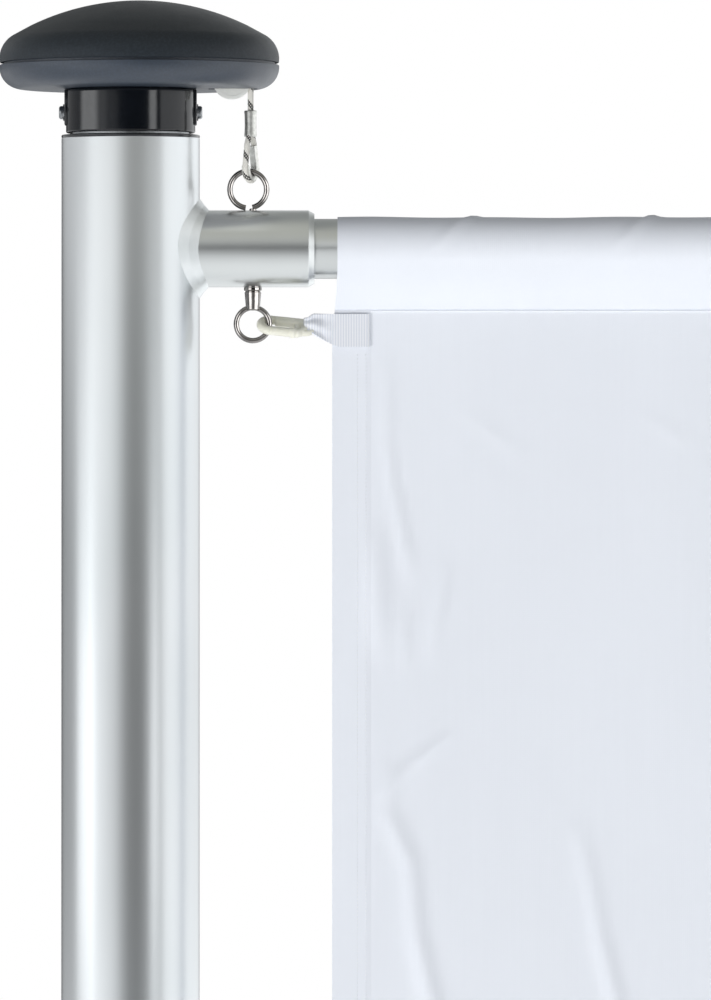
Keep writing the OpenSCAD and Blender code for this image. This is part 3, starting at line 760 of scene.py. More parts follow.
@dataclass
class Base:
    """Flange, socket, gussets and clamp screws that hold the mast.

    Attributes:
        hole_radius: Radius of an anchor hole.
        pitch_radius: Radius of the anchor holes' circle.
        holes: Number of anchor holes.
        bead: Leg of the weld beads.
    """

    hole_radius: float = 9 * MM
    pitch_radius: float = 100 * MM
    holes: int = 4
    bead: float = 5 * MM

    def build(self) -> None:
        """Builds the base."""
        self.flange()
        self.socket()
        for node, rounding in (("base_gussets", 1.0 * MM), ("clamp_screws", 0.8 * MM)):
            finish = GALVANISED_STEEL if node == "base_gussets" else SCREW_STEEL
            REPORTER.place(refined(node, rounding), "mast", finish, "galvanised", node)

    def flange(self) -> None:
        """Round plate with four anchor holes."""
        lowest, extent = low("base_flange"), size("base_flange")
        outline = rod_outline(extent.x / 2, extent.z, 1.5 * MM)
        plate = lathe("flange_plate", outline, Vector((0, 0, lowest.z)), steps=128)
        drills = []
        for i in range(self.holes):
            angle = TURN * (i + 0.5) / self.holes
            spot = Vector((math.cos(angle), math.sin(angle), 0)) * self.pitch_radius
            drills.append(lathe(f"drill_{i}", rod_outline(self.hole_radius, 3 * extent.z, MM),
                                spot - ALONG_Z * extent.z, steps=48))
        bevel(cut(plate, *drills), 0.6 * MM, 2, 60)
        REPORTER.place(smooth(plate), "mast", GALVANISED_STEEL, "galvanised", "base_flange")

    def socket(self) -> None:
        """Socket tube, with a weld bead round its foot."""
        foot, top = low("base_socket"), high("base_socket")
        inner = size("mast_tube").x / 2 + 0.1 * MM
        tube = lathe("socket_tube", pipe_outline(top.x, inner, top.z - foot.z, 1.2 * MM),
                     Vector((0, 0, foot.z)))
        bead = lathe("socket_bead", [(top.x - MM, 0), (top.x + self.bead, 0),
                                     *arc((top.x + self.bead, self.bead), 0.8 * self.bead, -100, -170, 6),
                                     (top.x - MM, self.bead)], Vector((0, 0, foot.z)))
        piece = join("socket_tube", tube, bead)
        REPORTER.place(piece, "mast", GALVANISED_STEEL, "galvanised", "base_socket")


@dataclass
class Mast:
    """Mast tube, halyard door and what shows of the halyard's fittings.

    Attributes:
        wall: Wall of the mast tube.
        opening_width: Width of the opening behind the door.
        opening_height: Height of that opening.
    """

    wall: float = 3 * MM
    opening_width: float = 40 * MM
    opening_height: float = 150 * MM

    def build(self) -> None:
        """Builds the mast."""
        lowest, extent = low("mast_tube"), size("mast_tube")
        radius = extent.x / 2
        tube = lathe("mast_tube_skin", pipe_outline(radius, radius - self.wall, extent.z, 0.6 * MM),
                     Vector((0, 0, lowest.z)), steps=128)
        centre = middle("halyard_door")
        half = Vector((self.opening_width / 2, radius, self.opening_height / 2))
        window = block("window", Vector((-half.x, -2 * radius, centre.z - half.z)),
                       Vector((half.x, 0, centre.z + half.z)), 6 * MM)
        REPORTER.place(smooth(cut(tube, window)), "mast", MAST_ALUMINIUM, "anodised", "mast_tube")
        for node, rounding, finish, slot in (("halyard_door", 0.4 * MM, MAST_ALUMINIUM, "anodised"),
                                             ("door_lock", 0.3 * MM, SCREW_STEEL, "stainless")):
            REPORTER.place(refined(node, rounding), "mast", finish, slot, node)
        REPORTER.keep("halyard_cleat", SCREW_STEEL)
        REPORTER.keep("cap_retainer", GALVANISED_STEEL)
        self.neck()

    def neck(self) -> None:
        """Black neck under the cap, its pads and its two screws."""
        lowest, highest = low("cap_neck"), high("cap_neck")
        retainer = spigot_radius()
        dish_floor = low("cap_dish").z
        radius = highest.x - MM
        inner = size("mast_tube").x / 2 + 0.05 * MM
        shoulder = dish_floor - 0.5 * MM - lowest.z
        bore = retainer - 2.5 * MM
        top = highest.z - lowest.z
        plate = high("mast_tube").z - lowest.z
        outline = [*arc((radius - MM, MM), MM, -90, 0, 4), (radius, 1.3 * MM), (radius, shoulder - 1.8 * MM),
                   *arc((radius - 1.5 * MM, shoulder - 1.5 * MM), 1.5 * MM, 0, 90, 4), (retainer, shoulder),
                   (retainer, top), (bore, top), (bore, plate), (inner, plate), (inner, 0)]
        body = lathe("neck_body", outline, Vector((0, 0, lowest.z)), steps=128)
        pads = []
        for side in (-1, 1):
            near, far = side * (radius - 6 * MM), side * highest.x
            pads.append(block("neck_pad", Vector((min(near, far), -7 * MM, lowest.z + 5 * MM)),
                              Vector((max(near, far), 7 * MM, dish_floor - 0.5 * MM)), 0.8 * MM))
        neck = smooth(join("neck_body", body, *pads))
        REPORTER.place(neck, "mast", NECK_PLASTIC, "neck_plastic", "cap_neck")
        self.screws()

    def screws(self) -> None:
        """Two pan-head screws with washers and hexagonal sockets."""
        lowest, highest = low("neck_screws"), high("neck_screws")
        seat = high("cap_neck").x
        radius = size("neck_screws").z / 2
        centre = Vector((seat, 0, (lowest.z + highest.z) / 2))
        head_h = highest.x - seat
        head = lathe("head", [(0, -3 * MM), (2.4 * MM, -3 * MM), (2.4 * MM, 0.2 * MM), (radius, 0.2 * MM),
                              (radius, 0.9 * MM), (radius - 1.2 * MM, 1.0 * MM),
                              (radius - 1.2 * MM, 1.6 * MM),
                              *arc((radius - 2.6 * MM, head_h - 1.4 * MM), 1.4 * MM, 0, 90, 5), (0, head_h)],
                     centre, ALONG_X, 48)
        clear_selection()
        bpy.ops.mesh.primitive_cylinder_add(vertices=6, radius=2.3 * MM, depth=4 * MM,
                                            rotation=(0, TURN / 4, 0),
                                            location=centre + ALONG_X * (head_h + 0.4 * MM))
        cut(head, settle("hexagon"))
        smooth(head)
        twin = copy_of(head, "head_twin", Matrix.Rotation(math.pi, 4, "Z"))
        REPORTER.place(join("neck_screw_pair", head, twin), "mast", SCREW_STEEL, "stainless", "neck_screws")


@dataclass
class Cap:
    """Domed cap in two shells, with the sheaves and the bracket inside.

    Attributes:
        wall: Wall of both shells.
        edge: Radius of the dome's rounded edge.
        dish_edge: Radius of the dish's rounded edge.
        lip: Height of the dome's upright lip.
        groove_h: Height of the groove at the seam.
        groove_d: Depth of the groove.
    """

    wall: float = 3 * MM
    edge: float = 17.8 * MM
    dish_edge: float = 14.2 * MM
    lip: float = 2.5 * MM
    groove_h: float = 1.5 * MM
    groove_d: float = 2.7 * MM

    def build(self) -> None:
        """Builds the cap."""
        self.dome()
        self.dish()
        bracket = refined("sheave_bracket", 0.3 * MM)
        REPORTER.place(bracket, "head", SCREW_STEEL, "stainless", "sheave_bracket")
        REPORTER.keep("sheave_pins", STAINLESS)
        self.sheave("inner_sheave", "head")
        self.sheave("outer_sheave", "sheave")

    def crown(self, inset: float) -> list[Point]:
        """Dome outline from the lip to the top, moved inwards."""
        radius, height = size("cap_dome").x / 2, size("cap_dome").z
        edge_x, rise = radius - self.edge, height - self.lip
        big = (edge_x ** 2 + rise ** 2 - self.edge ** 2) / (2 * (rise - self.edge))
        big_z = height - big
        meet = math.degrees(math.atan2(self.lip - big_z, edge_x))
        top = arc((0, big_z), big - inset, meet, 90, 40)
        rim = arc((edge_x, self.lip), self.edge - inset, 0, meet, 24)
        return [*rim, *(p for p in top if p[0] < edge_x - MM)]

    def dome(self) -> None:
        """Upper shell."""
        radius = size("cap_dome").x / 2
        centre = middle("cap_dome")
        outer = [(radius - self.groove_d, 0), (radius - 0.5 * MM, 0.05 * MM), (radius - 0.1 * MM, 0.4 * MM),
                 *self.crown(0)]
        inner = [*reversed(self.crown(self.wall)), (radius - self.wall - 0.2 * MM, 0)]
        shell = lathe("cap_dome_shell", outer + inner, Vector((centre.x, 0, low("cap_dome").z)), steps=160)
        REPORTER.place(shell, "head", DOME_PLASTIC_PAINTED_SHADE, "cap_plastic", "cap_dome")

    def dish(self) -> None:
        """Lower shell with its spigot hole and the halyard's slot."""
        radius, height = size("cap_dish").x / 2, size("cap_dish").z
        r, floor = self.dish_edge, low("cap_dish").z
        rim = radius - r
        groove = height - self.groove_h
        outline = [(0, 0), *arc((rim, r), r, -90, 0, 24), (radius, groove - 0.4 * MM),
                   (radius - 0.4 * MM, groove), (radius - self.groove_d, groove),
                   (radius - self.groove_d, height),
                   (radius - self.wall, height), *arc((rim, r), r - self.wall, 0, -90, 20), (0, self.wall)]
        shell = lathe("cap_dish_shell", outline, Vector((middle("cap_dish").x, 0, floor)), steps=160)
        spigot = spigot_radius() + 0.4 * MM
        hole = lathe("hole", rod_outline(spigot, 4 * self.wall, 0.3 * MM), Vector((0, 0, floor - self.wall)))
        sheave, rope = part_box("outer_sheave"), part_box("halyard_drop")
        slot = block("slot", Vector((sheave[0][0] - 2.5 * MM, -6 * MM, floor - self.wall)),
                     Vector((rope[1][0] + 2.5 * MM, 6 * MM, floor + 2 * self.wall)), 0)
        cut(shell, hole, slot)
        REPORTER.place(smooth(shell), "head", DISH_PLASTIC_PAINTED_LIGHT, "cap_plastic", "cap_dish")

    def sheave(self, node: str, body: str) -> None:
        """Grooved wheel, for the halyard to run over."""
        centre, extent = middle(node), size(node)
        radius, half = extent.z / 2, extent.y / 2
        groove = 2.4 * MM
        outline = [(3.08 * MM, -half), (5 * MM, -half), (5.2 * MM, -half + 0.2 * MM),
                   (radius - 2.3 * MM, -half + 0.2 * MM), (radius - 2.1 * MM, -half),
                   *arc((radius - 0.4 * MM, -half + 0.4 * MM), 0.4 * MM, -90, 0, 3),
                   *arc((radius - 0.5 * MM, 0), groove, -105, -255, 12),
                   *arc((radius - 0.4 * MM, half - 0.4 * MM), 0.4 * MM, 0, 90, 3),
                   (radius - 2.1 * MM, half), (radius - 2.3 * MM, half - 0.2 * MM),
                   (5.2 * MM, half - 0.2 * MM), (5 * MM, half), (3.08 * MM, half)]
        wheel = lathe(node + "_wheel", outline, centre, ALONG_Y, 72)
        REPORTER.place(wheel, body, ACETAL, "white_plastic", node)


@dataclass
class Carriage:
    """Tube that slides on the mast, its bushes, the sleeve and the arm.

    Attributes:
        wall: Wall of the carriage tube.
        chamfer: Chamfer at the sleeve's mouth.
        arm_wall: Wall of the arm tube.
        weld: Leg of the sleeve's weld.
    """

    wall: float = 2.5 * MM
    chamfer: float = 3 * MM
    arm_wall: float = 2 * MM
    weld: float = 6 * MM

    def build(self) -> None:
        """Builds the carriage."""
        lowest, extent = low("carriage_tube"), size("carriage_tube")
        radius = extent.x / 2
        foot = Vector((0, 0, lowest.z))
        outline = pipe_outline(radius, radius - self.wall, extent.z, 0.5 * MM)
        tube = lathe("carriage_skin", outline, foot, steps=144)
        REPORTER.place(tube, "carriage", MAST_ALUMINIUM, "anodised", "carriage_tube")
        self.bush("top_bush", 1)
        self.bush("bottom_bush", -1)
        self.sleeve(radius)
        self.weld_bead(radius)
        self.arm()

    def bush(self, node: str, side: int) -> None:
        """Black sliding bush whose flange covers the tube's end."""
        lowest, highest = low(node), high(node)
        radius = highest.x
        inside = radius - self.wall
        bore = size("mast_tube").x / 2 + 0.4 * MM
        flange = 2 * MM
        length = highest.z - lowest.z - flange
        outline = [(bore, -length), (inside, -length), (inside, 0), (radius - 0.3 * MM, 0),
                   (radius, 0.7 * MM),
                   *arc((radius - 0.8 * MM, flange - 0.8 * MM), 0.8 * MM, 0, 90, 4),
                   (bore + 0.6 * MM, flange), (bore, flange - 0.6 * MM)]
        seat = highest.z - flange if side > 0 else lowest.z + flange
        outline = [(r, side * h) for r, h in outline]
        ring = lathe(node + "_ring", outline, Vector((0, 0, seat)), steps=128)
        REPORTER.place(ring, "carriage", NECK_PLASTIC, "neck_plastic", node)

    def sleeve(self, carriage_radius: float) -> None:
        """Short sleeve, saddle-cut into the carriage's wall, with a softened mouth."""
        end, centre = high("arm_sleeve").x, middle("arm_sleeve")
        radius, bore = size("arm_sleeve").z / 2, size("banner_arm").z / 2 + 0.1 * MM
        c = self.chamfer
        outline = [(bore, 0), (radius, 0), (radius, end - c - 1.2 * MM),
                   *arc((radius - 1.4 * MM, end - c - 1.2 * MM), 1.4 * MM, 10, 50, 4),
                   (radius - 0.62 * c, end - 0.6 * MM), (radius - 0.75 * c, end), (bore + 0.4 * MM, end),
                   (bore, end - 0.4 * MM)]
        tube = lathe("sleeve_tube", outline, Vector((0, 0, centre.z)), ALONG_X, 128)
        length = 4 * radius
        cutter = lathe("saddle", rod_outline(carriage_radius - MM, length, 0.2 * MM),
                       Vector((0, 0, centre.z - length / 2)), steps=144)
        cut(tube, cutter)
        REPORTER.place(smooth(tube), "carriage", ARM_ALUMINIUM, "anodised", "arm_sleeve")

    def weld_bead(self, carriage_radius: float) -> None:
        """Hollow fillet weld along the saddle, swept by hand because no lathe makes its path."""
        centre = middle("arm_sleeve")
        radius = size("arm_sleeve").z / 2
        around, across, root = 180, 10, 0.8 * MM
        build = bmesh.new()
        rings = []
        for i in range(around):
            t = TURN * i / around
            leg = self.weld * (1 + 0.03 * math.sin(5 * t + 1))
            ring = []
            for j in range(across + 1):
                # the fillet's face is a hollow quarter round between the two legs
                a = math.radians(90 * j / across)
                off_sleeve = 1.25 * leg * (1 - math.sin(a))
                off_tube = leg * (1 - math.cos(a))
                ring.append(self.weld_point(carriage_radius, radius, t, off_sleeve, off_tube))
            ring.append(self.weld_point(carriage_radius - root, radius, t, 1.25 * leg, 0))
            ring.append(self.weld_point(carriage_radius - root, radius - root, t, 0, 0))
            ring.append(self.weld_point(carriage_radius, radius - root, t, 0, leg))
            rings.append([build.verts.new(p + Vector((0, 0, centre.z))) for p in ring])
        for here, there in zip(rings, rings[1:] + rings[:1]):
            for k in range(len(here)):
                build.faces.new((here[k], here[k - 1], there[k - 1], there[k]))
        piece = finished("sleeve_weld_bead", build, outwards=True)
        REPORTER.place(smooth(piece, 60), "carriage", WELD_ALUMINIUM, "anodised", "sleeve_weld")

    @staticmethod
    def weld_point(carriage_radius: float, radius: float, t: float, off_sleeve: float,
                   off_tube: float) -> Vector:
        """Point of the weld at an angle round the sleeve.

        Args:
            carriage_radius: Radius of the carriage tube.
            radius: Radius of the sleeve.
            t: Angle round the sleeve, from +Z towards +Y.
            off_sleeve: Distance from the sleeve's surface.
            off_tube: Distance from the carriage tube's surface.

        Returns:
            The point, with the sleeve's axis at height 0.
        """
        r = radius + off_sleeve
        y, z = r * math.sin(t), r * math.cos(t)
        big = carriage_radius + off_tube
        return Vector((math.sqrt(max(big ** 2 - y ** 2, 0)), y, z))

    def arm(self) -> None:
        """Arm tube and its end plug."""
        lowest, highest = low("banner_arm"), high("banner_arm")
        centre, radius = middle("banner_arm"), size("banner_arm").z / 2
        start = Vector((lowest.x, 0, centre.z))
        outline = pipe_outline(radius, radius - self.arm_wall, highest.x - lowest.x, 0.4 * MM)
        tube = lathe("arm_tube", outline, start, ALONG_X, 112)
        REPORTER.place(tube, "carriage", ARM_ALUMINIUM, "anodised", "banner_arm")
        plug_end = high("arm_end_plug").x
        flange = plug_end - highest.x
        inner = radius - self.arm_wall
        outline = [(0, -18 * MM), (inner - 0.8 * MM, -18 * MM), (inner, -16 * MM), (inner, 0), (radius, 0),
                   *arc((radius - 1.6 * MM, flange - 1.6 * MM), 1.6 * MM, 0, 90, 6), (0, flange)]
        plug = lathe("arm_plug", outline, Vector((highest.x, 0, centre.z)), ALONG_X, 112)
        REPORTER.place(plug, "carriage", NECK_PLASTIC, "neck_plastic", "arm_end_plug")


@dataclass
class Fittings:
    """Eye bolt, ring nut, halyard end and snap hook on the sleeve.

    Attributes:
        wire: Radius of the bolt's and the nut's wire.
        bar: Radius of the hook's bars.
        gate: Radius of the hook's gate.
        lean: Lean of the hook away from lying flat, in degrees.
        droop: Fall of the hook towards the banner, in degrees.
        loop_turn: Turn of the halyard's loop about the vertical, in degrees.
        rope_sides: Points round the halyard.
        rope_step: Distance between the halyard's rings of points.
        thimble_bore: Radius of the thimble's round foot, inside.
        thimble_wall: Depth of its channel.
    """

    wire: float = 1.8 * MM
    bar: float = 3.0 * MM
    gate: float = 3.0 * MM
    lean: float = 33
    droop: float = 6
    loop_turn: float = 64
    rope_sides: int = 32
    rope_step: float = 0.4 * MM
    thimble_bore: float = 4.6 * MM
    thimble_wall: float = 1.9 * MM

    def build(self) -> None:
        """Builds the fittings."""
        self.eye_bolt()
        self.ring_nut()
        self.halyard()
        self.snap_hook()

    def eye_bolt(self) -> None:
        """Bolt bent from wire: an eye that isn't quite closed, and its shank."""
        box_low, box_high = low("eye_bolt"), high("eye_bolt")
        sleeve_top = high("arm_sleeve").z
        bend = size("eye_bolt").x / 2 - self.wire
        centre = Vector((middle("eye_bolt").x, 0, box_high.z - bend - self.wire))
        eye = bent_wire("eye", centre, bend, self.wire, -77, 339)
        shank_x = middle("ring_nut").x
        shank = lathe("shank", rod_outline(2.3 * MM, sleeve_top + 1.2 * MM - box_low.z, 0.6 * MM),
                      Vector((shank_x, 0, box_low.z)), steps=32)
        bolt = join("eye_bolt_wire", eye, shank)
        REPORTER.place(smooth(bolt), "carriage", STAINLESS, "stainless", "eye_bolt")

    def ring_nut(self) -> None:
        """Round nut with a conical neck that holds both ends of a wire ring."""
        x = middle("ring_nut").x
        seat = low("arm_sleeve").z
        ring_radius = size("ring_nut").x / 2 - self.wire
        ring_z = low("ring_nut").z + self.wire + ring_radius
        neck = seat - (ring_z + ring_radius - self.wire)
        rim, cone_top, cone_low = 5.8 * MM, 5.4 * MM, 4.5 * MM
        outline = [(0, 1.5 * MM), (rim - 0.4 * MM, 1.5 * MM), (rim - 0.4 * MM, 0.2 * MM), (rim, -0.3 * MM),
                   (rim, -1.9 * MM), (rim - 0.4 * MM, -2.3 * MM), (cone_top - 0.5 * MM, -2.6 * MM),
                   (cone_top - 0.5 * MM, -3.0 * MM), (cone_top, -3.4 * MM),
                   *arc((cone_low - 0.8 * MM, -neck + 0.8 * MM), 0.8 * MM, 0, -90, 4), (0, -neck)]
        body = lathe("nut_body", outline, Vector((x, 0, seat)), steps=64)
        ring = bent_wire("nut_wire", Vector((x, 0, ring_z)), ring_radius, self.wire, 96, 348)
        nut = smooth(join("ring_nut_wire", body, ring))
        REPORTER.place(nut, "carriage", STAINLESS, "stainless", "ring_nut")

    def rope_skin(self, name: str, path: Sequence[Vector], radius: float) -> Piece:
        """Braided rope along a path, swept with real strand relief and a map along its length.

        Args:
            name: Name of the piece.
            path: Points of the centre line, close together.
            radius: Radius of the rope.

        Returns:
            The rope as a closed piece.
        """
        build = mapped_mesh()
        sides = self.rope_sides
        travelled, rings, marks = 0.0, [], []
        side = None
        for i, spot in enumerate(path):
            ahead = path[min(i + 1, len(path) - 1)] - path[max(i - 1, 0)]
            ahead.normalize()
            side = ahead.orthogonal() if side is None else side - ahead * side.dot(ahead)
            side.normalize()
            other = ahead.cross(side)
            travelled += (spot - path[i - 1]).length if i else 0.0
            ring = []
            for k in range(sides):
                u = k / sides
                waves = [abs(((u + s * travelled / ROPE_LAY) * ROPE_STRANDS) % 1 - 0.5) * 2 for s in (1, -1)]
                relief = 0.16 * MM * (max(waves) - 0.8)
                r = radius + relief
                a = TURN * u
                ring.append(build.verts.new(spot + (side * math.cos(a) + other * math.sin(a)) * r))
            rings.append([*ring, ring[0]])
            marks.append([(k / sides, travelled) for k in range(sides + 1)])
        weave(build, rings, marks, flip=True)
        build.faces.new(list(reversed(rings[0][:-1])))
        build.faces.new(rings[-1][:-1])
        return smooth(finished(name, build, outwards=True), 60)

    def halyard(self) -> None:
        """Halyard: up the mast, over the sheaves, down to the ferrule, and its loop with the thimble."""
        drop_low, drop_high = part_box("halyard_drop")
        radius = (drop_high[0] - drop_low[0]) / 2
        x = (drop_high[0] + drop_low[0]) / 2
        top, foot = drop_high[2], drop_low[2]
        count = int((top - foot) / self.rope_step)
        path = [Vector((x, 0, top + (foot - top) * i / count)) for i in range(count + 1)]
        drop = self.rope_skin("halyard_fall", path, radius)
        REPORTER.dress(drop, ROPE_POLYESTER, "rope", "halyard_drop")
        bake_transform(drop)
        LOG.info("halyard_fall blended between head and carriage")
        self.ferrule(x)
        self.loop(x, radius)
        for node, body in (("halyard_rise", "mast"), ("halyard_over", "head")):
            self.hidden_rope(node, body, radius)

    def hidden_rope(self, node: str, body: str, radius: float) -> None:
        """Rope inside the mast, which is straight, and inside the cap, which goes over two sheaves."""
        lowest, highest = low(node), high(node)
        if node == "halyard_rise":
            count = 240
            step = (highest.z - lowest.z) / count
            path = [Vector((0, 0, lowest.z + step * i)) for i in range(count + 1)]
        else:
            bend = highest.z - radius - lowest.z
            left, right = lowest.x + radius + bend, highest.x - radius - bend
            turns = [math.radians(90 * i / 24) for i in range(25)]
            path = [Vector((left - bend * math.cos(a), 0, lowest.z + bend * math.sin(a))) for a in turns]
            path += [Vector((left + (right - left) * i / 40, 0, highest.z - radius)) for i in range(1, 40)]
            path += [Vector((right + bend * math.sin(a), 0, lowest.z + bend * math.cos(a))) for a in turns]
        REPORTER.place(self.rope_skin(node + "_braid", path, radius), body, ROPE_POLYESTER, "rope", node)

    def ferrule(self, x: float) -> None:
        """Pressed aluminium ferrule, a little waisted, with blunt ends."""
        lowest, highest = low("rope_ferrule"), high("rope_ferrule")
        radius, length = size("rope_ferrule").x / 2, highest.z - lowest.z
        waist = 0.35 * MM
        outline = [(0, 0), (radius - 1.2 * MM, 0), *arc((radius - 0.8 * MM, 0.8 * MM), 0.8 * MM, -60, 0, 4)]
        outline += [(radius - waist * math.sin(math.pi * i / 12) ** 0.6,
                     1.2 * MM + (length - 2.4 * MM) * i / 12) for i in range(1, 12)]
        outline += [*arc((radius - 0.8 * MM, length - 0.8 * MM), 0.8 * MM, 0, 60, 4),
                    (radius - 1.2 * MM, length), (0, length)]
        piece = lathe("ferrule_pressed", outline, Vector((x, 0, lowest.z)), steps=24)
        REPORTER.place(smooth(piece, 20), "carriage", FERRULE_ALUMINIUM, "anodised", "rope_ferrule")

    @staticmethod
    def wrap(reach: float, top: Point) -> Point:
        """Angles at which a loop hung round a circle meets it.

        Args:
            reach: Radius of the circle.
            top: Half width and height of the loop's ends over the circle's centre.

        Returns:
            The first and the last angle, counted from +X, round the foot.
        """
        tangent = math.atan2(top[1], top[0]) - math.acos(reach / math.hypot(*top))
        return math.pi - tangent, TURN + tangent

    def teardrop(self, reach: float, centre_z: float, top: Point) -> list[Point]:
        """Outline of the halyard's loop in its own plane, from one top end down and round to the other.

        Args:
            reach: Radius of the loop's round lower part.
            centre_z: Height of that part's centre.
            top: Half width and height at which the outline ends.

        Returns:
            The points.
        """
        steps = 60
        start, end = self.wrap(reach, (top[0], top[1] - centre_z))
        turns = [start + (end - start) * i / steps for i in range(steps + 1)]
        round_part = [(reach * math.cos(a), centre_z + reach * math.sin(a)) for a in turns]
        return [(-top[0], top[1]), *round_part, top]

    def loop(self, x: float, radius: float) -> None:
        """Loop of halyard round the thimble, both in a plane turned about the vertical."""
        foot = low("rope_ferrule").z
        run = self.thimble_bore + self.thimble_wall + radius - 0.6 * MM
        centre_z = low("halyard_eye").z + run + radius
        spin = Matrix.Translation((x, 0, 0)) @ Matrix.Rotation(math.radians(self.loop_turn), 4, "Z")
        shoulder = (5.4 * MM, foot - 7.0 * MM)
        drop = self.teardrop(run, centre_z, shoulder)
        neck = [(shoulder[0] - (shoulder[0] - radius) * smoothstep(i / 14),
                 shoulder[1] + (foot + 3 * MM - shoulder[1]) * i / 14) for i in range(1, 15)]
        legs = [(-h, z) for h, z in reversed(neck)] + drop + neck
        path = self.even_steps([spin @ Vector((h, 0, z)) for h, z in legs], self.rope_step)
        rope = self.rope_skin("halyard_loop", path, radius)
        REPORTER.place(rope, "carriage", ROPE_POLYESTER, "rope", "halyard_eye", "halyard_legs")
        self.thimble(spin, centre_z, shoulder)

    @staticmethod
    def even_steps(path: Sequence[Vector], step: float) -> list[Vector]:
        """Points at even steps along a path."""
        spots, rest = [path[0]], step
        for here, there in zip(path, path[1:]):
            run = (there - here).length
            while rest < run:
                spots.append(here.lerp(there, rest / run))
                rest += step
            rest -= run
        return spots + [path[-1]]

    def thimble(self, spin: Matrix, centre_z: float, shoulder: Point) -> None:
        """Channel-section liner of the loop: a round foot and two straight legs that close at the top."""
        bore, thick = self.thimble_bore, self.thimble_wall
        half, lip = 2.5 * MM, 0.5 * MM
        section = [(0, -half + lip), (0, half - lip), (0.9 * MM, half), (thick + 1.4 * MM, half),
                   (thick + 1.4 * MM, half - lip), (1.0 * MM, half - 1.1 * lip), (0.6 * MM, 0),
                   (1.0 * MM, -half + 1.1 * lip), (thick + 1.4 * MM, -half + lip), (thick + 1.4 * MM, -half),
                   (0.9 * MM, -half)]
        top = (1.2 * MM, shoulder[1] + 1.0 * MM - centre_z)
        start, end = self.wrap(bore, top)
        spots = [Vector(((bore + r) * math.cos(start), y, (bore + r) * math.sin(start))) for r, y in section]
        draw_line(spots)
        bpy.ops.mesh.edge_face_add()
        bpy.ops.mesh.select_all(action="SELECT")
        leg = Vector((-top[0] - bore * math.cos(start), 0, top[1] - bore * math.sin(start)))
        bpy.ops.mesh.spin(steps=48, angle=end - start, center=(0, 0, 0), axis=(0, 1, 0))
        bpy.ops.mesh.extrude_region_move(TRANSFORM_OT_translate={"value": (-leg.x, 0, leg.z)})
        self.select_section(start)
        bpy.ops.mesh.extrude_region_move(TRANSFORM_OT_translate={"value": leg})
        close_skin()
        piece = settle("thimble_liner")
        piece.data.transform(spin @ Matrix.Translation((0, 0, centre_z)))
        REPORTER.place(smooth(piece), "carriage", FERRULE_ALUMINIUM, "stainless", "thimble")

    @staticmethod
    def select_section(angle: float) -> None:
        """In edit mode, selects the face that closes a bend at an angle."""
        mesh = bmesh.from_edit_mesh(bpy.context.edit_object.data)
        normal = Vector((-math.sin(angle), 0, math.cos(angle)))
        ray = Vector((math.cos(angle), 0, math.sin(angle)))
        for face in mesh.faces:
            centre = face.calc_center_median()
            on_section = abs(centre.dot(normal)) < 0.01 * MM and centre.dot(ray) > 0
            face.select_set(on_section and len(face.verts) > 4)
        bmesh.update_edit_mesh(bpy.context.edit_object.data)

    def snap_hook(self) -> None:
        """Moulded hook: a thick back, a thinner sprung gate, and an eye for the webbing."""
        lowest, highest = low("snap_hook"), high("snap_hook")
        centre_z = middle("snap_hook").z
        nose = 6.5 * MM
        start = lowest.x + self.bar + nose
        tail_r = 6.6 * MM
        tail_x = highest.x - tail_r
        back_end = tail_x - nose
        lean = (Matrix.Translation((start, 0, centre_z)) @ Matrix.Rotation(math.radians(self.droop), 4, "Y")
                @ Matrix.Rotation(math.radians(self.lean - 90), 4, "X") @ Matrix.Translation((-start, 0, 0)))
        bend = bent_wire("hook_nose", Vector((start, 0, 0)), nose, self.bar, 90, 178, sides=28, steps=36)
        back = lathe("hook_back", rod_outline(self.bar, tail_x - start + 2 * MM, 1.6 * MM, 5),
                     Vector((start - MM, 0, nose)), ALONG_X, 28)
        rib = lathe("hook_rib", rod_outline(self.bar * 0.9, back_end - start + 3 * MM, 1.6 * MM, 5),
                    Vector((start + 2 * MM, 0, nose - 2.1 * MM)), ALONG_X, 28)
        gate_len = back_end - start + 5 * MM
        gate_line = [(0, 0), *arc((self.gate - 1.5 * MM, 1.5 * MM), 1.5 * MM, -90, 0, 4),
                     (self.gate, gate_len * 0.62), (self.gate + 0.5 * MM, gate_len * 0.68),
                     (self.gate + 0.6 * MM, gate_len * 0.78), (self.gate - 0.2 * MM, gate_len * 0.84),
                     (self.gate, gate_len - 2 * MM), (self.gate - MM, gate_len), (0, gate_len)]
        gate = lathe("hook_gate", gate_line, Vector((start - 0.5 * MM, 0, -nose)), ALONG_X, 28)
        eye = lathe("hook_eye", [(3.4 * MM, -1.4 * MM), *arc((5.0 * MM, 0), 2.3 * MM, -60, 60, 8),
                                 (3.4 * MM, 1.4 * MM), (3.0 * MM, 0)],
                    Vector((tail_x, 0, 0)), ALONG_Y, 48)
        heel = bent_wire("hook_heel", Vector((back_end, 0, 0)), nose, self.bar * 0.92, -88, 176, sides=28,
                         steps=36)
        hook = join("snap_hook_moulding", bend, back, rib, gate, eye, heel)
        modify(hook, "REMESH", mode="VOXEL", voxel_size=0.35 * MM)
        modify(hook, "SMOOTH", factor=0.5, iterations=4)
        hook.data.transform(lean)
        REPORTER.place(smooth(hook, 60), "carriage", HOOK_NYLON, "hook_plastic", "snap_hook")


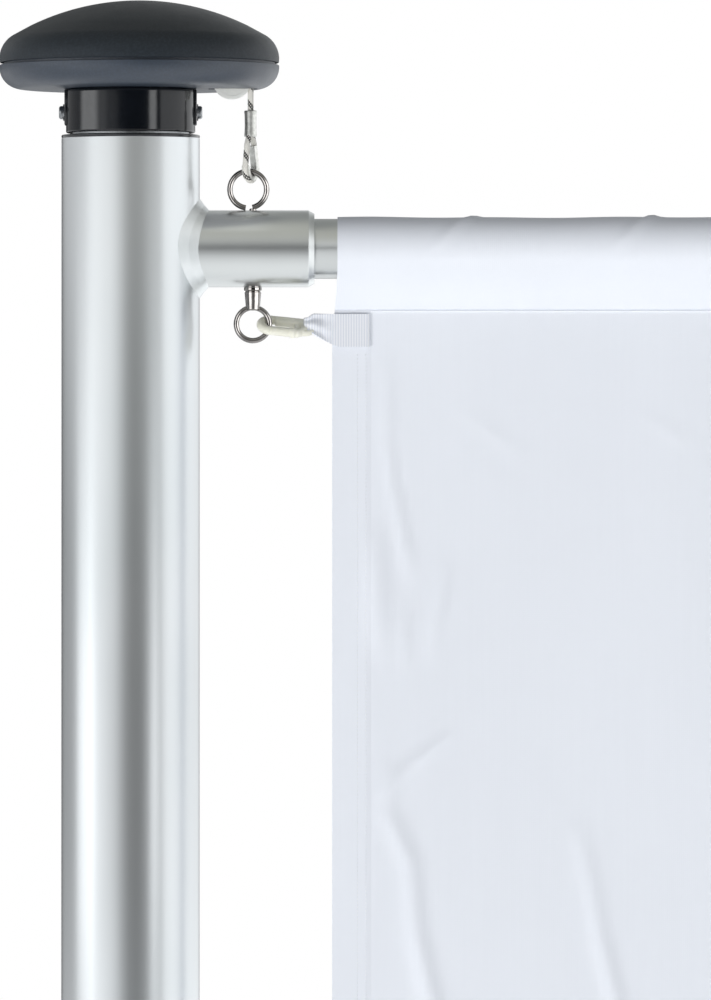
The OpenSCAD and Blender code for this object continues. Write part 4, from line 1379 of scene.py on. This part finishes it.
@dataclass(frozen=True)
class Crease:
    """A soft ridge in the cloth.

    Attributes:
        path: Points in millimetres: right of the inner edge, and down from the arm's axis.
        width: Half width of the ridge in millimetres.
        height: Height of the ridge towards -Y in millimetres.
    """

    path: tuple[Point, ...]
    width: float
    height: float

    def at(self, x: float, down: float) -> float:
        """Height of the ridge at a place, in millimetres."""
        best, share, travelled = 1e9, 0.0, 0.0
        total = sum(math.dist(a, b) for a, b in zip(self.path, self.path[1:]))
        for a, b in zip(self.path, self.path[1:]):
            run = math.dist(a, b)
            t = ((x - a[0]) * (b[0] - a[0]) + (down - a[1]) * (b[1] - a[1])) / run ** 2
            t = min(max(t, 0.0), 1.0)
            gap = math.dist((x, down), (a[0] + (b[0] - a[0]) * t, a[1] + (b[1] - a[1]) * t))
            if gap < best:
                best, share = gap, (travelled + run * t) / total
            travelled += run
        if best > 3 * self.width:
            return 0.0
        fade = math.sin(math.pi * min(max(0.04 + 0.92 * share, 0.0), 1.0)) ** 0.7
        return 1.7 * self.height * fade * math.exp(-(best / self.width) ** 2)


CREASES = (
    Crease(((36, 75), (37, 128), (48, 205)), 3.0, 1.6),
    Crease(((38, 115), (48, 190)), 2.2, -0.9),
    Crease(((44, 160), (52, 218)), 2.4, 1.0),
    Crease(((29, 185), (30, 260)), 7.0, 1.8),
    Crease(((75, 205), (64, 265)), 3.5, 1.4),
    Crease(((48, 236), (48, 272)), 2.2, 1.0),
    Crease(((31, 357), (50, 336), (76, 315)), 2.6, 1.3),
    Crease(((39, 340), (36, 367), (51, 400), (55, 447), (66, 495), (70, 620)), 5.5, 2.4),
    Crease(((160, 378), (169, 415), (174, 447), (186, 495), (196, 640)), 5.0, 2.0),
    Crease(((83, 104), (126, 136)), 3.0, 0.4),
    Crease(((202, 108), (230, 127)), 3.0, 0.4),
    Crease(((300, 140), (330, 420), (322, 800)), 14.0, 2.0),
    Crease(((640, 90), (560, 480), (575, 1200)), 26.0, 4.0),
    Crease(((960, 60), (900, 420), (880, 1100)), 24.0, 4.0),
)


@dataclass
class Banner:
    """White banner on the arm: pocket, cloth, hems, stitching and the webbing tab.

    Attributes:
        thick: Thickness of the modelled cloth.
        hem: Width of the side hems.
        lower_hem: Height of the lower hem.
        edge_in: How far the pocket's end stands in from the cloth's edge, over the arm.
        stitch: Length of one stitch.
        stitch_pitch: Distance between stitches.
        pocket_run: Cloth that goes round the arm; not used.
        fine_width: Width of the inner part whose mesh is fine, for its creases.
        fine_height: Height of the upper part whose mesh is fine.
        strap_turn: Distance of the webbing's turn from the end of the hook's eye.
        strap_foot: Fall of the gathered webbing's lower edge below the hook.
        strap_gather: Length over which the webbing is gathered.
        strap_bulge: How far the webbing stands off beside the hook's eye.
        strap_bulge_run: Length of that bulge.
        strap_thick: Thickness of the webbing.
    """

    thick: float = 0.5 * MM
    hem: float = 23.5 * MM
    lower_hem: float = 30 * MM
    edge_in: float = 3.5 * MM
    stitch: float = 1.9 * MM
    stitch_pitch: float = 2.6 * MM
    pocket_run: float = 160 * MM
    fine_width: float = 420 * MM
    fine_height: float = 460 * MM
    strap_turn: float = 7.0 * MM
    strap_foot: float = 3.2 * MM
    strap_gather: float = 21 * MM
    strap_bulge: float = 3.0 * MM
    strap_bulge_run: float = 12 * MM
    strap_thick: float = 0.9 * MM

    def __post_init__(self) -> None:
        """Takes the banner's places from the CAD solids."""
        self.left, self.right = low("banner_cloth").x, high("banner_cloth").x
        self.foot = low("banner_cloth").z
        self.arm_z = middle("banner_arm").z
        self.seam_z = high("banner_cloth").z + 2.5 * MM
        self.radius = size("banner_arm").z / 2 + 0.8 * MM

    def build(self) -> None:
        """Builds the banner."""
        cloth = self.cloth()
        stitches = self.stitches()
        tab = self.tab()
        for piece, finish, slot in ((cloth, BANNER_POLYESTER, "banner"), (stitches, THREAD, "banner"),
                                    (tab, WEBBING_POLYESTER, "webbing")):
            nodes = {cloth: ("banner_cloth", "banner_pocket"), tab: ("webbing_tab",)}.get(piece, ())
            REPORTER.place(piece, "carriage", finish, slot, *nodes)

    def front(self, x: float, z: float) -> float:
        """Distance of the cloth from the banner's plane, towards -Y, in metres.

        Args:
            x: Place across the banner.
            z: Height, below the seam.

        Returns:
            How far the cloth stands forward.
        """
        right, down = (x - self.left) / MM, (self.arm_z - z) / MM
        below = max(self.seam_z - z, 0.0) / MM
        free = smoothstep(below / 900)
        folds = (6.0 * math.sin(right / 118 + 0.6) + 3.0 * math.sin(right / 61 + below / 700)) * free
        sway = 1.2 * math.sin(right / 46 + 2.0) * smoothstep(below / 200) * (1 - 0.6 * free)
        ridges = sum(c.at(right, down) for c in CREASES)
        puckers = 0.25 * math.sin(right / 3.7) * math.exp(-below / 5)
        hem_step = 0.6 if right < self.hem / MM or right > (self.right - self.left - self.hem) / MM else 0.0
        lower = 0.35 if z < self.foot + self.lower_hem else 0.0
        return (folds + sway + ridges + puckers + max(hem_step, lower)) * MM

    def columns(self) -> list[float]:
        """Places across the banner: closest at the hems, then over the inner part, then the rest."""
        width = self.right - self.left
        stops, x = [], 0.0
        while x < width - 0.2 * MM:
            stops.append(x)
            near = min(x, width - x)
            if near < 26 * MM:
                step = 1.3 * MM
            elif x < self.fine_width:
                step = 4.0 * MM
            else:
                step = 14 * MM
            x += step
        return [self.left + s for s in stops] + [self.right]

    def section(self, x: float) -> list[tuple[float, float, float]]:
        """The cloth's path at one place across: up the front, over the arm and down to the seam.

        Args:
            x: Place across the banner.

        Returns:
            Points as (y, z, distance along the cloth).
        """
        right = (x - self.left) / MM
        points: list[Point] = []
        z = self.foot
        while z < self.seam_z - 1.2 * MM:
            points.append((-self.front(x, z), z))
            to_seam = self.seam_z - z
            if to_seam < 8 * MM:
                z += 1.2 * MM
            elif to_seam < self.fine_height:
                z += 3.8 * MM
            else:
                z += 19 * MM
        r = self.radius + 0.25 * MM * math.sin(right / 13) + 0.2 * MM * math.sin(right / 31 + 1)
        drop = self.arm_z - self.seam_z
        points += [(-1.1 * MM, self.seam_z - 0.8 * MM), (-0.3 * MM, self.seam_z),
                   (-0.9 * MM, self.seam_z + 0.9 * MM), (-2.6 * MM, self.seam_z + 2.4 * MM)]
        side = math.acos(r / drop)
        touch = Vector((-r * math.sin(side), -r * math.cos(side)))
        for i in range(1, 8):
            t = 0.12 + 0.88 * i / 8
            bulge = 1.6 * MM * math.sin(math.pi * t) * (1 + 0.3 * math.sin(right / 47))
            points.append((touch.x * t - bulge, self.arm_z - drop + (touch.y + drop) * t))
        steps = 30
        for i in range(steps + 1):
            a = math.pi + (math.pi / 2 - side) - (math.pi + 2 * (math.pi / 2 - side)) * i / steps
            wrinkle = self.pocket_wrinkle(right, a)
            points.append(((r + wrinkle) * math.cos(a), self.arm_z + (r + wrinkle) * math.sin(a)))
        for i in range(7, 0, -1):
            t = 0.12 + 0.88 * i / 8
            back = -touch.x * t + 0.8 * MM * math.sin(math.pi * t)
            points.append((back, self.arm_z - drop + (touch.y + drop) * t))
        points += [(1.6 * MM, self.seam_z + 0.8 * MM), (1.2 * MM, self.seam_z - 5 * MM)]
        run, travelled = [], 0.0
        for i, p in enumerate(points):
            travelled += math.dist(p, points[i - 1]) if i else 0.0
            run.append((p[0], p[1], travelled))
        return run

    def pocket_wrinkle(self, right: float, angle: float) -> float:
        """Slanting wrinkles over the pocket's top, in metres."""
        up = math.degrees(angle)
        total = 0.0
        fade = smoothstep((196 - up) / 40) * smoothstep((up - 70) / 40)
        for centre, height in ((82, 2.0), (200, 2.2), (345, 1.8), (610, 2.0), (820, 1.8)):
            ridge = centre + (150 - up) * 0.28 - 8
            total += height * math.exp(-((right - ridge) / 2.5) ** 2) * fade
        return total * MM

    def cloth(self) -> Piece:
        """One sheet from the lower hem to the back of the seam, shaped by hand and given its thickness."""
        build = mapped_mesh()
        grid, marks = [], []
        for x in self.columns():
            column, along = [], []
            share = (x - self.left) / (self.right - self.left)
            for y, z, run in self.section(x):
                over = smoothstep((z - self.seam_z + 30 * MM) / (60 * MM))
                pulled = self.edge_in * over * (1 - 2 * share)
                column.append(build.verts.new((x + pulled, y, z)))
                along.append((x, run))
            grid.append(column)
            marks.append(along)
        weave(build, grid, marks)
        piece = finished("banner_sheet", build)
        modify(piece, "SOLIDIFY", thickness=self.thick, offset=0.0, use_even_offset=False)
        return smooth(piece, 80)

    def stitches(self) -> Piece:
        """Rows of stitches along the seam and the hems, each a short flat thread on the cloth."""
        build = bmesh.new()
        rows: list[tuple[Vector, Vector]] = []
        for inset in (16.5 * MM, self.hem - 1.6 * MM):
            for x in (self.left + inset, self.right - inset):
                rows.append((Vector((x, 0, self.foot + 4 * MM)), Vector((x, 0, self.seam_z - 26 * MM))))
        for z in (self.seam_z - 1.6 * MM, self.foot + self.lower_hem - 2 * MM):
            rows.append((Vector((self.left + 2 * MM, 0, z)), Vector((self.right - 2 * MM, 0, z))))
        for a, b in rows:
            count = int((b - a).length / self.stitch_pitch)
            ahead = (b - a).normalized()
            for i in range(count):
                spot = a + ahead * self.stitch_pitch * (i + 0.5)
                spot.y = -self.front(spot.x, spot.z) - self.thick / 2
                self.one_stitch(build, spot, ahead)
        LOG.info("%d rows of stitches", len(rows))
        return smooth(finished("banner_stitching", build, outwards=True), 80)

    def one_stitch(self, build: bmesh.types.BMesh, spot: Vector, ahead: Vector) -> None:
        """Adds one stitch: a low ridge with pointed ends."""
        side = ahead.cross(ALONG_Y)
        half, wide, tall = self.stitch / 2, 0.36 * MM, 0.42 * MM
        ring = [spot - ahead * half, spot + side * wide, spot + ahead * half, spot - side * wide]
        base = [build.verts.new(p + ALONG_Y * 0.1 * MM) for p in ring]
        crest = [build.verts.new(spot + ahead * half * s - ALONG_Y * tall) for s in (-0.45, 0.45)]
        near, far = crest
        for corners in ((base[0], base[1], near), (near, base[1], far), (base[1], base[2], far),
                        (base[2], base[3], far), (far, base[3], near), (base[3], base[0], near), base[::-1]):
            build.faces.new(corners)

    def tab(self) -> Piece:
        """Ribbed webbing: sewn to both faces of the cloth, drawn together through the hook's eye."""
        lowest, highest = low("webbing_tab"), high("webbing_tab")
        hook_tail = high("snap_hook").x
        hook_z = middle("snap_hook").z
        wide = highest.z - lowest.z
        turn_x = hook_tail - self.strap_turn
        sewn_x = highest.x
        build = mapped_mesh()
        along, across = 150, 26
        grid, marks = [], []
        for i in range(along + 1):
            s = 2 * i / along - 1
            side = -1 if s < 0 else 1
            reach = abs(s)
            x = turn_x + (sewn_x - turn_x) * reach
            past = (x - turn_x - 1.5 * MM) / self.strap_gather
            fan = smoothstep(0.1 + 0.9 * past) if past < 1 else 1.0
            top = highest.z - 2.6 * MM * (1 - smoothstep(past * 4))
            drawn_in = (1 - min(max(past, 0.0), 1.0)) ** 1.15
            foot = lowest.z + (hook_z - self.strap_foot - lowest.z) * drawn_in
            width, z0 = top - foot, (top + foot) / 2
            column = []
            for j in range(across + 1):
                v = j / across - 0.5
                rib = 0.1 * MM * math.cos(TURN * (x - turn_x) / WEBBING_RIB)
                gather = (1 - fan) * 1.5 * MM * math.cos(TURN * v * 1.6)
                away = 0.55 * MM + 0.75 * MM * smoothstep((x - turn_x) / (5 * MM)) + 0.35 * MM * fan
                cloth = self.front(x, z0 + v * width) if x > self.left else 0.0
                if reach < 0.012:
                    away = 0.0
                part = min((x - turn_x) / self.strap_bulge_run, 1.0)
                away += self.strap_bulge * math.sin(math.pi * part ** 0.6)
                y = side * (away + rib) - gather - cloth
                column.append(build.verts.new((x, y, z0 + v * width)))
            grid.append(column)
            marks.append([(reach * (sewn_x - turn_x), j / across * wide) for j in range(across + 1)])
        weave(build, grid, marks, flip=True)
        piece = finished("webbing_strap", build)
        modify(piece, "SOLIDIFY", thickness=self.strap_thick, offset=0.0)
        return smooth(piece, 60)


# ---------------------------------------------------------------------------------------------
# Studio


# Sine of the elevation of the middle of a panel that isn't full height
PANEL_HEIGHT = 0.035


@dataclass(frozen=True)
class Panel:
    """A soft upright panel of the studio, as polished and satin surfaces reflect it.

    Attributes:
        bearing: Direction of the panel's middle in degrees, from the front (-Y) towards +X.
        full: Half width in degrees over which it has its full brightness.
        fade: Half width in degrees at which it ends.
        level: Brightness that it adds, less than 0 for a black flag.
        tall: Half height as the sine of an elevation, or 0 for the whole height.
    """

    bearing: float
    full: float
    fade: float
    level: float
    tall: float = 0.0

    def add(self, tree: Tree, level_ray: Socket, height: Socket, glow: object) -> Socket:
        """Adds the panel to the room's glow.

        Args:
            tree: The world's node tree.
            level_ray: Direction of the ray, laid level.
            height: Sine of the ray's elevation.
            glow: The glow so far.

        Returns:
            The glow with this panel.
        """
        b = math.radians(self.bearing)
        near: object = 1.0
        if self.full < 180:
            toward = add_node(tree, "VectorMath", (level_ray, (math.sin(b), -math.cos(b), 0)), "Value",
                              operation="DOT_PRODUCT")
            limits = (math.cos(math.radians(self.fade)), math.cos(math.radians(self.full)))
            near = add_node(tree, "MapRange", (toward, *limits), **EASED)
        if self.tall:
            offset = add_node(tree, "Math", (height, PANEL_HEIGHT), operation="SUBTRACT")
            off = add_node(tree, "Math", (offset,), operation="ABSOLUTE")
            band = add_node(tree, "MapRange", (off, self.tall, self.tall * 0.4), **EASED)
            near = add_node(tree, "Math", (near, band), operation="MULTIPLY")
        return add_node(tree, "Math", (near, self.level, glow), operation="MULTIPLY_ADD")


@dataclass(frozen=True)
class Softbox:
    """A square light, hidden from the camera.

    Attributes:
        name: Its name.
        spot: Its place.
        aim: Point that it shines at.
        width: Width in metres.
        power: Power in watts.
        only: First words of the pieces or materials that it lights, or none for all of them.
        mirrored: Whether it shows in reflections.
    """

    name: str
    spot: Vector
    aim: Vector
    width: float
    power: float
    only: tuple[str, ...] = ()
    mirrored: bool = False

    def build(self) -> None:
        """Adds the light."""
        data = bpy.data.lights.new(self.name, "AREA")
        data.shape = "SQUARE"
        data.size = self.width
        data.energy = self.power
        light = bpy.data.objects.new(self.name, data)
        light.location = self.spot
        light.rotation_euler = (self.aim - self.spot).to_track_quat("-Z", "Y").to_euler()
        light.visible_glossy = self.mirrored
        light.visible_camera = False
        bpy.context.scene.collection.objects.link(light)
        if self.only:
            light.light_linking.receiver_collection = self.receivers()

    def receivers(self) -> bpy.types.Collection:
        """The pieces that the light falls on."""
        group = bpy.data.collections.new(self.name + "_receivers")
        for piece in bpy.context.scene.objects:
            if piece.type == "MESH":
                names = (piece.name, *(m.name for m in piece.data.materials if m))
                if any(name.startswith(self.only) for name in names):
                    group.objects.link(piece)
        return group


@dataclass
class Studio:
    """Camera, lights, the room that the metal reflects, and the floor.

    Attributes:
        distance: Distance of the camera.
        rise: How far the camera looks up, in degrees.
        view_height: Height of the view at the pole, in metres.
        aim: Point that the camera looks at.
        glow: Brightness of the room between its panels.
        darkest: Brightness that the flags leave.
        ground_from: Sines of elevation between which the room passes into the ground.
        ground: Brightness of the ground at -X and at +X.
        ceiling_from: Sines of elevation between which the room passes into the ceiling.
        ceiling_front: Colour of the ceiling over the front.
        ceiling_back: Colour of the ceiling over the back.
        fill: Brightness on matt surfaces from below and from above.
        tone: Share of red, green and blue in the room's faintly cool grey.
    """

    distance: float = 10.0
    rise: float = 0.85
    view_height: float = 0.650
    aim: tuple[float, float, float] = (0.1462, 0.0, 5.6767)

    glow: float = 0.68
    darkest: float = 0.03
    ground_from: Point = (-0.12, -0.90)
    ground: Point = (0.84, 1.50)
    ceiling_from: Point = (0.10, 0.70)
    ceiling_front: Vec3 = (0.62, 0.62, 0.57)
    ceiling_back: Vec3 = (0.36, 0.37, 0.36)
    fill: Point = (0.66, 0.24)
    tone: Vec3 = (0.985, 1.0, 1.01)

    # bright panels at the left front, the left back and the right; flags in front, behind and left of the
    # middle; a dark belt round the horizon; and two bright strips that the flags don't darken
    PANELS = (Panel(-47, 5, 42, 0.85), Panel(-128, 25, 52, 0.24), Panel(118, 60, 65, 0.98),
              Panel(8, 3, 22, -0.31, 0.46), Panel(180, 8, 28, -0.75, 0.50), Panel(0, 180, 200, -0.60, 0.11),
              Panel(-25, 12, 24, -0.50, 0.09))
    STRIPS = (Panel(-80, 8, 24, 2.7, 0.07), Panel(41, 3, 9, 3.4, 0.07))

    def build(self) -> None:
        """Builds the studio."""
        self.camera()
        self.room()
        self.floor()
        self.lights()

    def camera(self) -> None:
        """Long lens at the front, a little below what it looks at."""
        angle = math.radians(self.rise)
        ahead = Vector((0, math.cos(angle), math.sin(angle)))
        data = bpy.data.cameras.new("camera")
        data.sensor_fit = "VERTICAL"
        data.sensor_height = 24
        data.lens = data.sensor_height * self.distance / self.view_height
        data.clip_start, data.clip_end = 0.1, 200
        camera = bpy.data.objects.new("camera", data)
        camera.location = Vector(self.aim) - ahead * self.distance
        camera.rotation_euler = ahead.to_track_quat("-Z", "Y").to_euler()
        bpy.context.scene.collection.objects.link(camera)
        bpy.context.scene.camera = camera

    def room(self) -> None:
        """White backdrop. Reflections show soft panels, flags, a grey ceiling and a pale ground instead."""
        world = bpy.data.worlds.new("studio")
        bpy.context.scene.world = world
        world.use_nodes = True
        tree = world.node_tree
        tree.nodes.clear()
        ray = add_node(tree, "TexCoord", out="Generated")
        right, back, height = add_node(tree, "SeparateXYZ", (ray,)).node.outputs
        flat = add_node(tree, "VectorMath", (ray, (1, 1, 0)), operation="MULTIPLY")
        level_ray = add_node(tree, "VectorMath", (flat,), operation="NORMALIZE")
        glow: object = self.glow
        for panel in self.PANELS:
            glow = panel.add(tree, level_ray, height, glow)
        glow = add_node(tree, "Math", (glow, self.darkest), operation="MAXIMUM")
        for strip in self.STRIPS:
            glow = strip.add(tree, level_ray, height, glow)
        ground = add_node(tree, "MapRange", (right, -0.6, 0.6, *self.ground))
        fill = add_node(tree, "MapRange", (height, -0.6, 0.8, *self.fill))
        down = add_node(tree, "MapRange", (height, *self.ground_from), **EASED)
        up = add_node(tree, "MapRange", (height, *self.ceiling_from), **EASED)
        behind = add_node(tree, "MapRange", (back, -0.50, 0.30), **EASED)
        path = add_node(tree, "LightPath").node.outputs
        room = self.blend(tree, down, self.grey(tree, glow), self.grey(tree, ground))
        ceiling = self.blend(tree, behind, (*self.ceiling_front, 1), (*self.ceiling_back, 1))
        mirrored = self.blend(tree, up, room, ceiling)
        lit = self.blend(tree, path["Is Glossy Ray"], self.grey(tree, fill), mirrored)
        seen = self.blend(tree, path["Is Camera Ray"], lit, (1, 1, 1, 1))
        sky = add_node(tree, "Background", (seen, 1.0))
        tree.links.new(sky, tree.nodes.new("ShaderNodeOutputWorld").inputs[0])

    @staticmethod
    def blend(tree: Tree, share: Socket, first: object, second: object) -> Socket:
        """The first colour where the share is 0, and the second where it is 1."""
        return add_node(tree, "Mix", {0: share, 6: first, 7: second}, 2, data_type="RGBA")

    def grey(self, tree: Tree, value: Socket) -> Socket:
        """A value as a faintly cool grey."""
        parts = [add_node(tree, "Math", (value, share), operation="MULTIPLY") for share in self.tone]
        return add_node(tree, "CombineColor", parts)

    @staticmethod
    def lights() -> None:
        """Two softboxes in front and one over the floor, and cards for the sleeve and the polished wire."""
        head, eye = Vector((0.35, 0, 5.7)), middle("eye_bolt")
        above = Vector((0.4, 0.4, 5.0))
        dish = Vector((middle("cap_dish").x, 0, low("cap_dish").z - 2 * MM))
        wire = (STAINLESS.name,)
        for softbox in (
                Softbox("left_softbox", Vector((-6.75, -6.8, 1.3)), head, 5.2, 700),
                Softbox("right_softbox", Vector((7.25, -6.8, 1.1)), head, 6.4, 325),
                Softbox("floor_softbox", above, above - 5 * ALONG_Z, 14.0, 330, ("floor",)),
                Softbox("cap_card", dish, dish - ALONG_Z, 0.17, 0.026, ("sleeve",), True),
                Softbox("left_card", eye + Vector((-2.3, -2.1, 0)), eye, 3.0, 90, wire, True),
                Softbox("right_card", eye + Vector((2.6, -1.8, 0)), eye, 3.0, 110, wire, True)):
            softbox.build()

    def floor(self) -> None:
        """Pale floor under the base."""
        clear_selection()
        bpy.ops.mesh.primitive_grid_add(x_subdivisions=8, y_subdivisions=8, size=16, location=(0, 0, 0))
        piece = settle("floor")
        piece.data.materials.append(FLOOR_PAINT.build())
        piece.visible_glossy = False


def main() -> None:
    """Builds the flagpole's sub-assemblies in order, then the studio."""
    logging.basicConfig(level=logging.INFO, format="%(message)s")
    bpy.context.scene.view_settings.view_transform = "Standard"
    for part in (Base(), Mast(), Cap(), Carriage(), Fittings(), Banner(), Studio()):
        LOG.info("building %s", type(part).__name__)
        part.build()


if __name__ == "__main__":
    main()
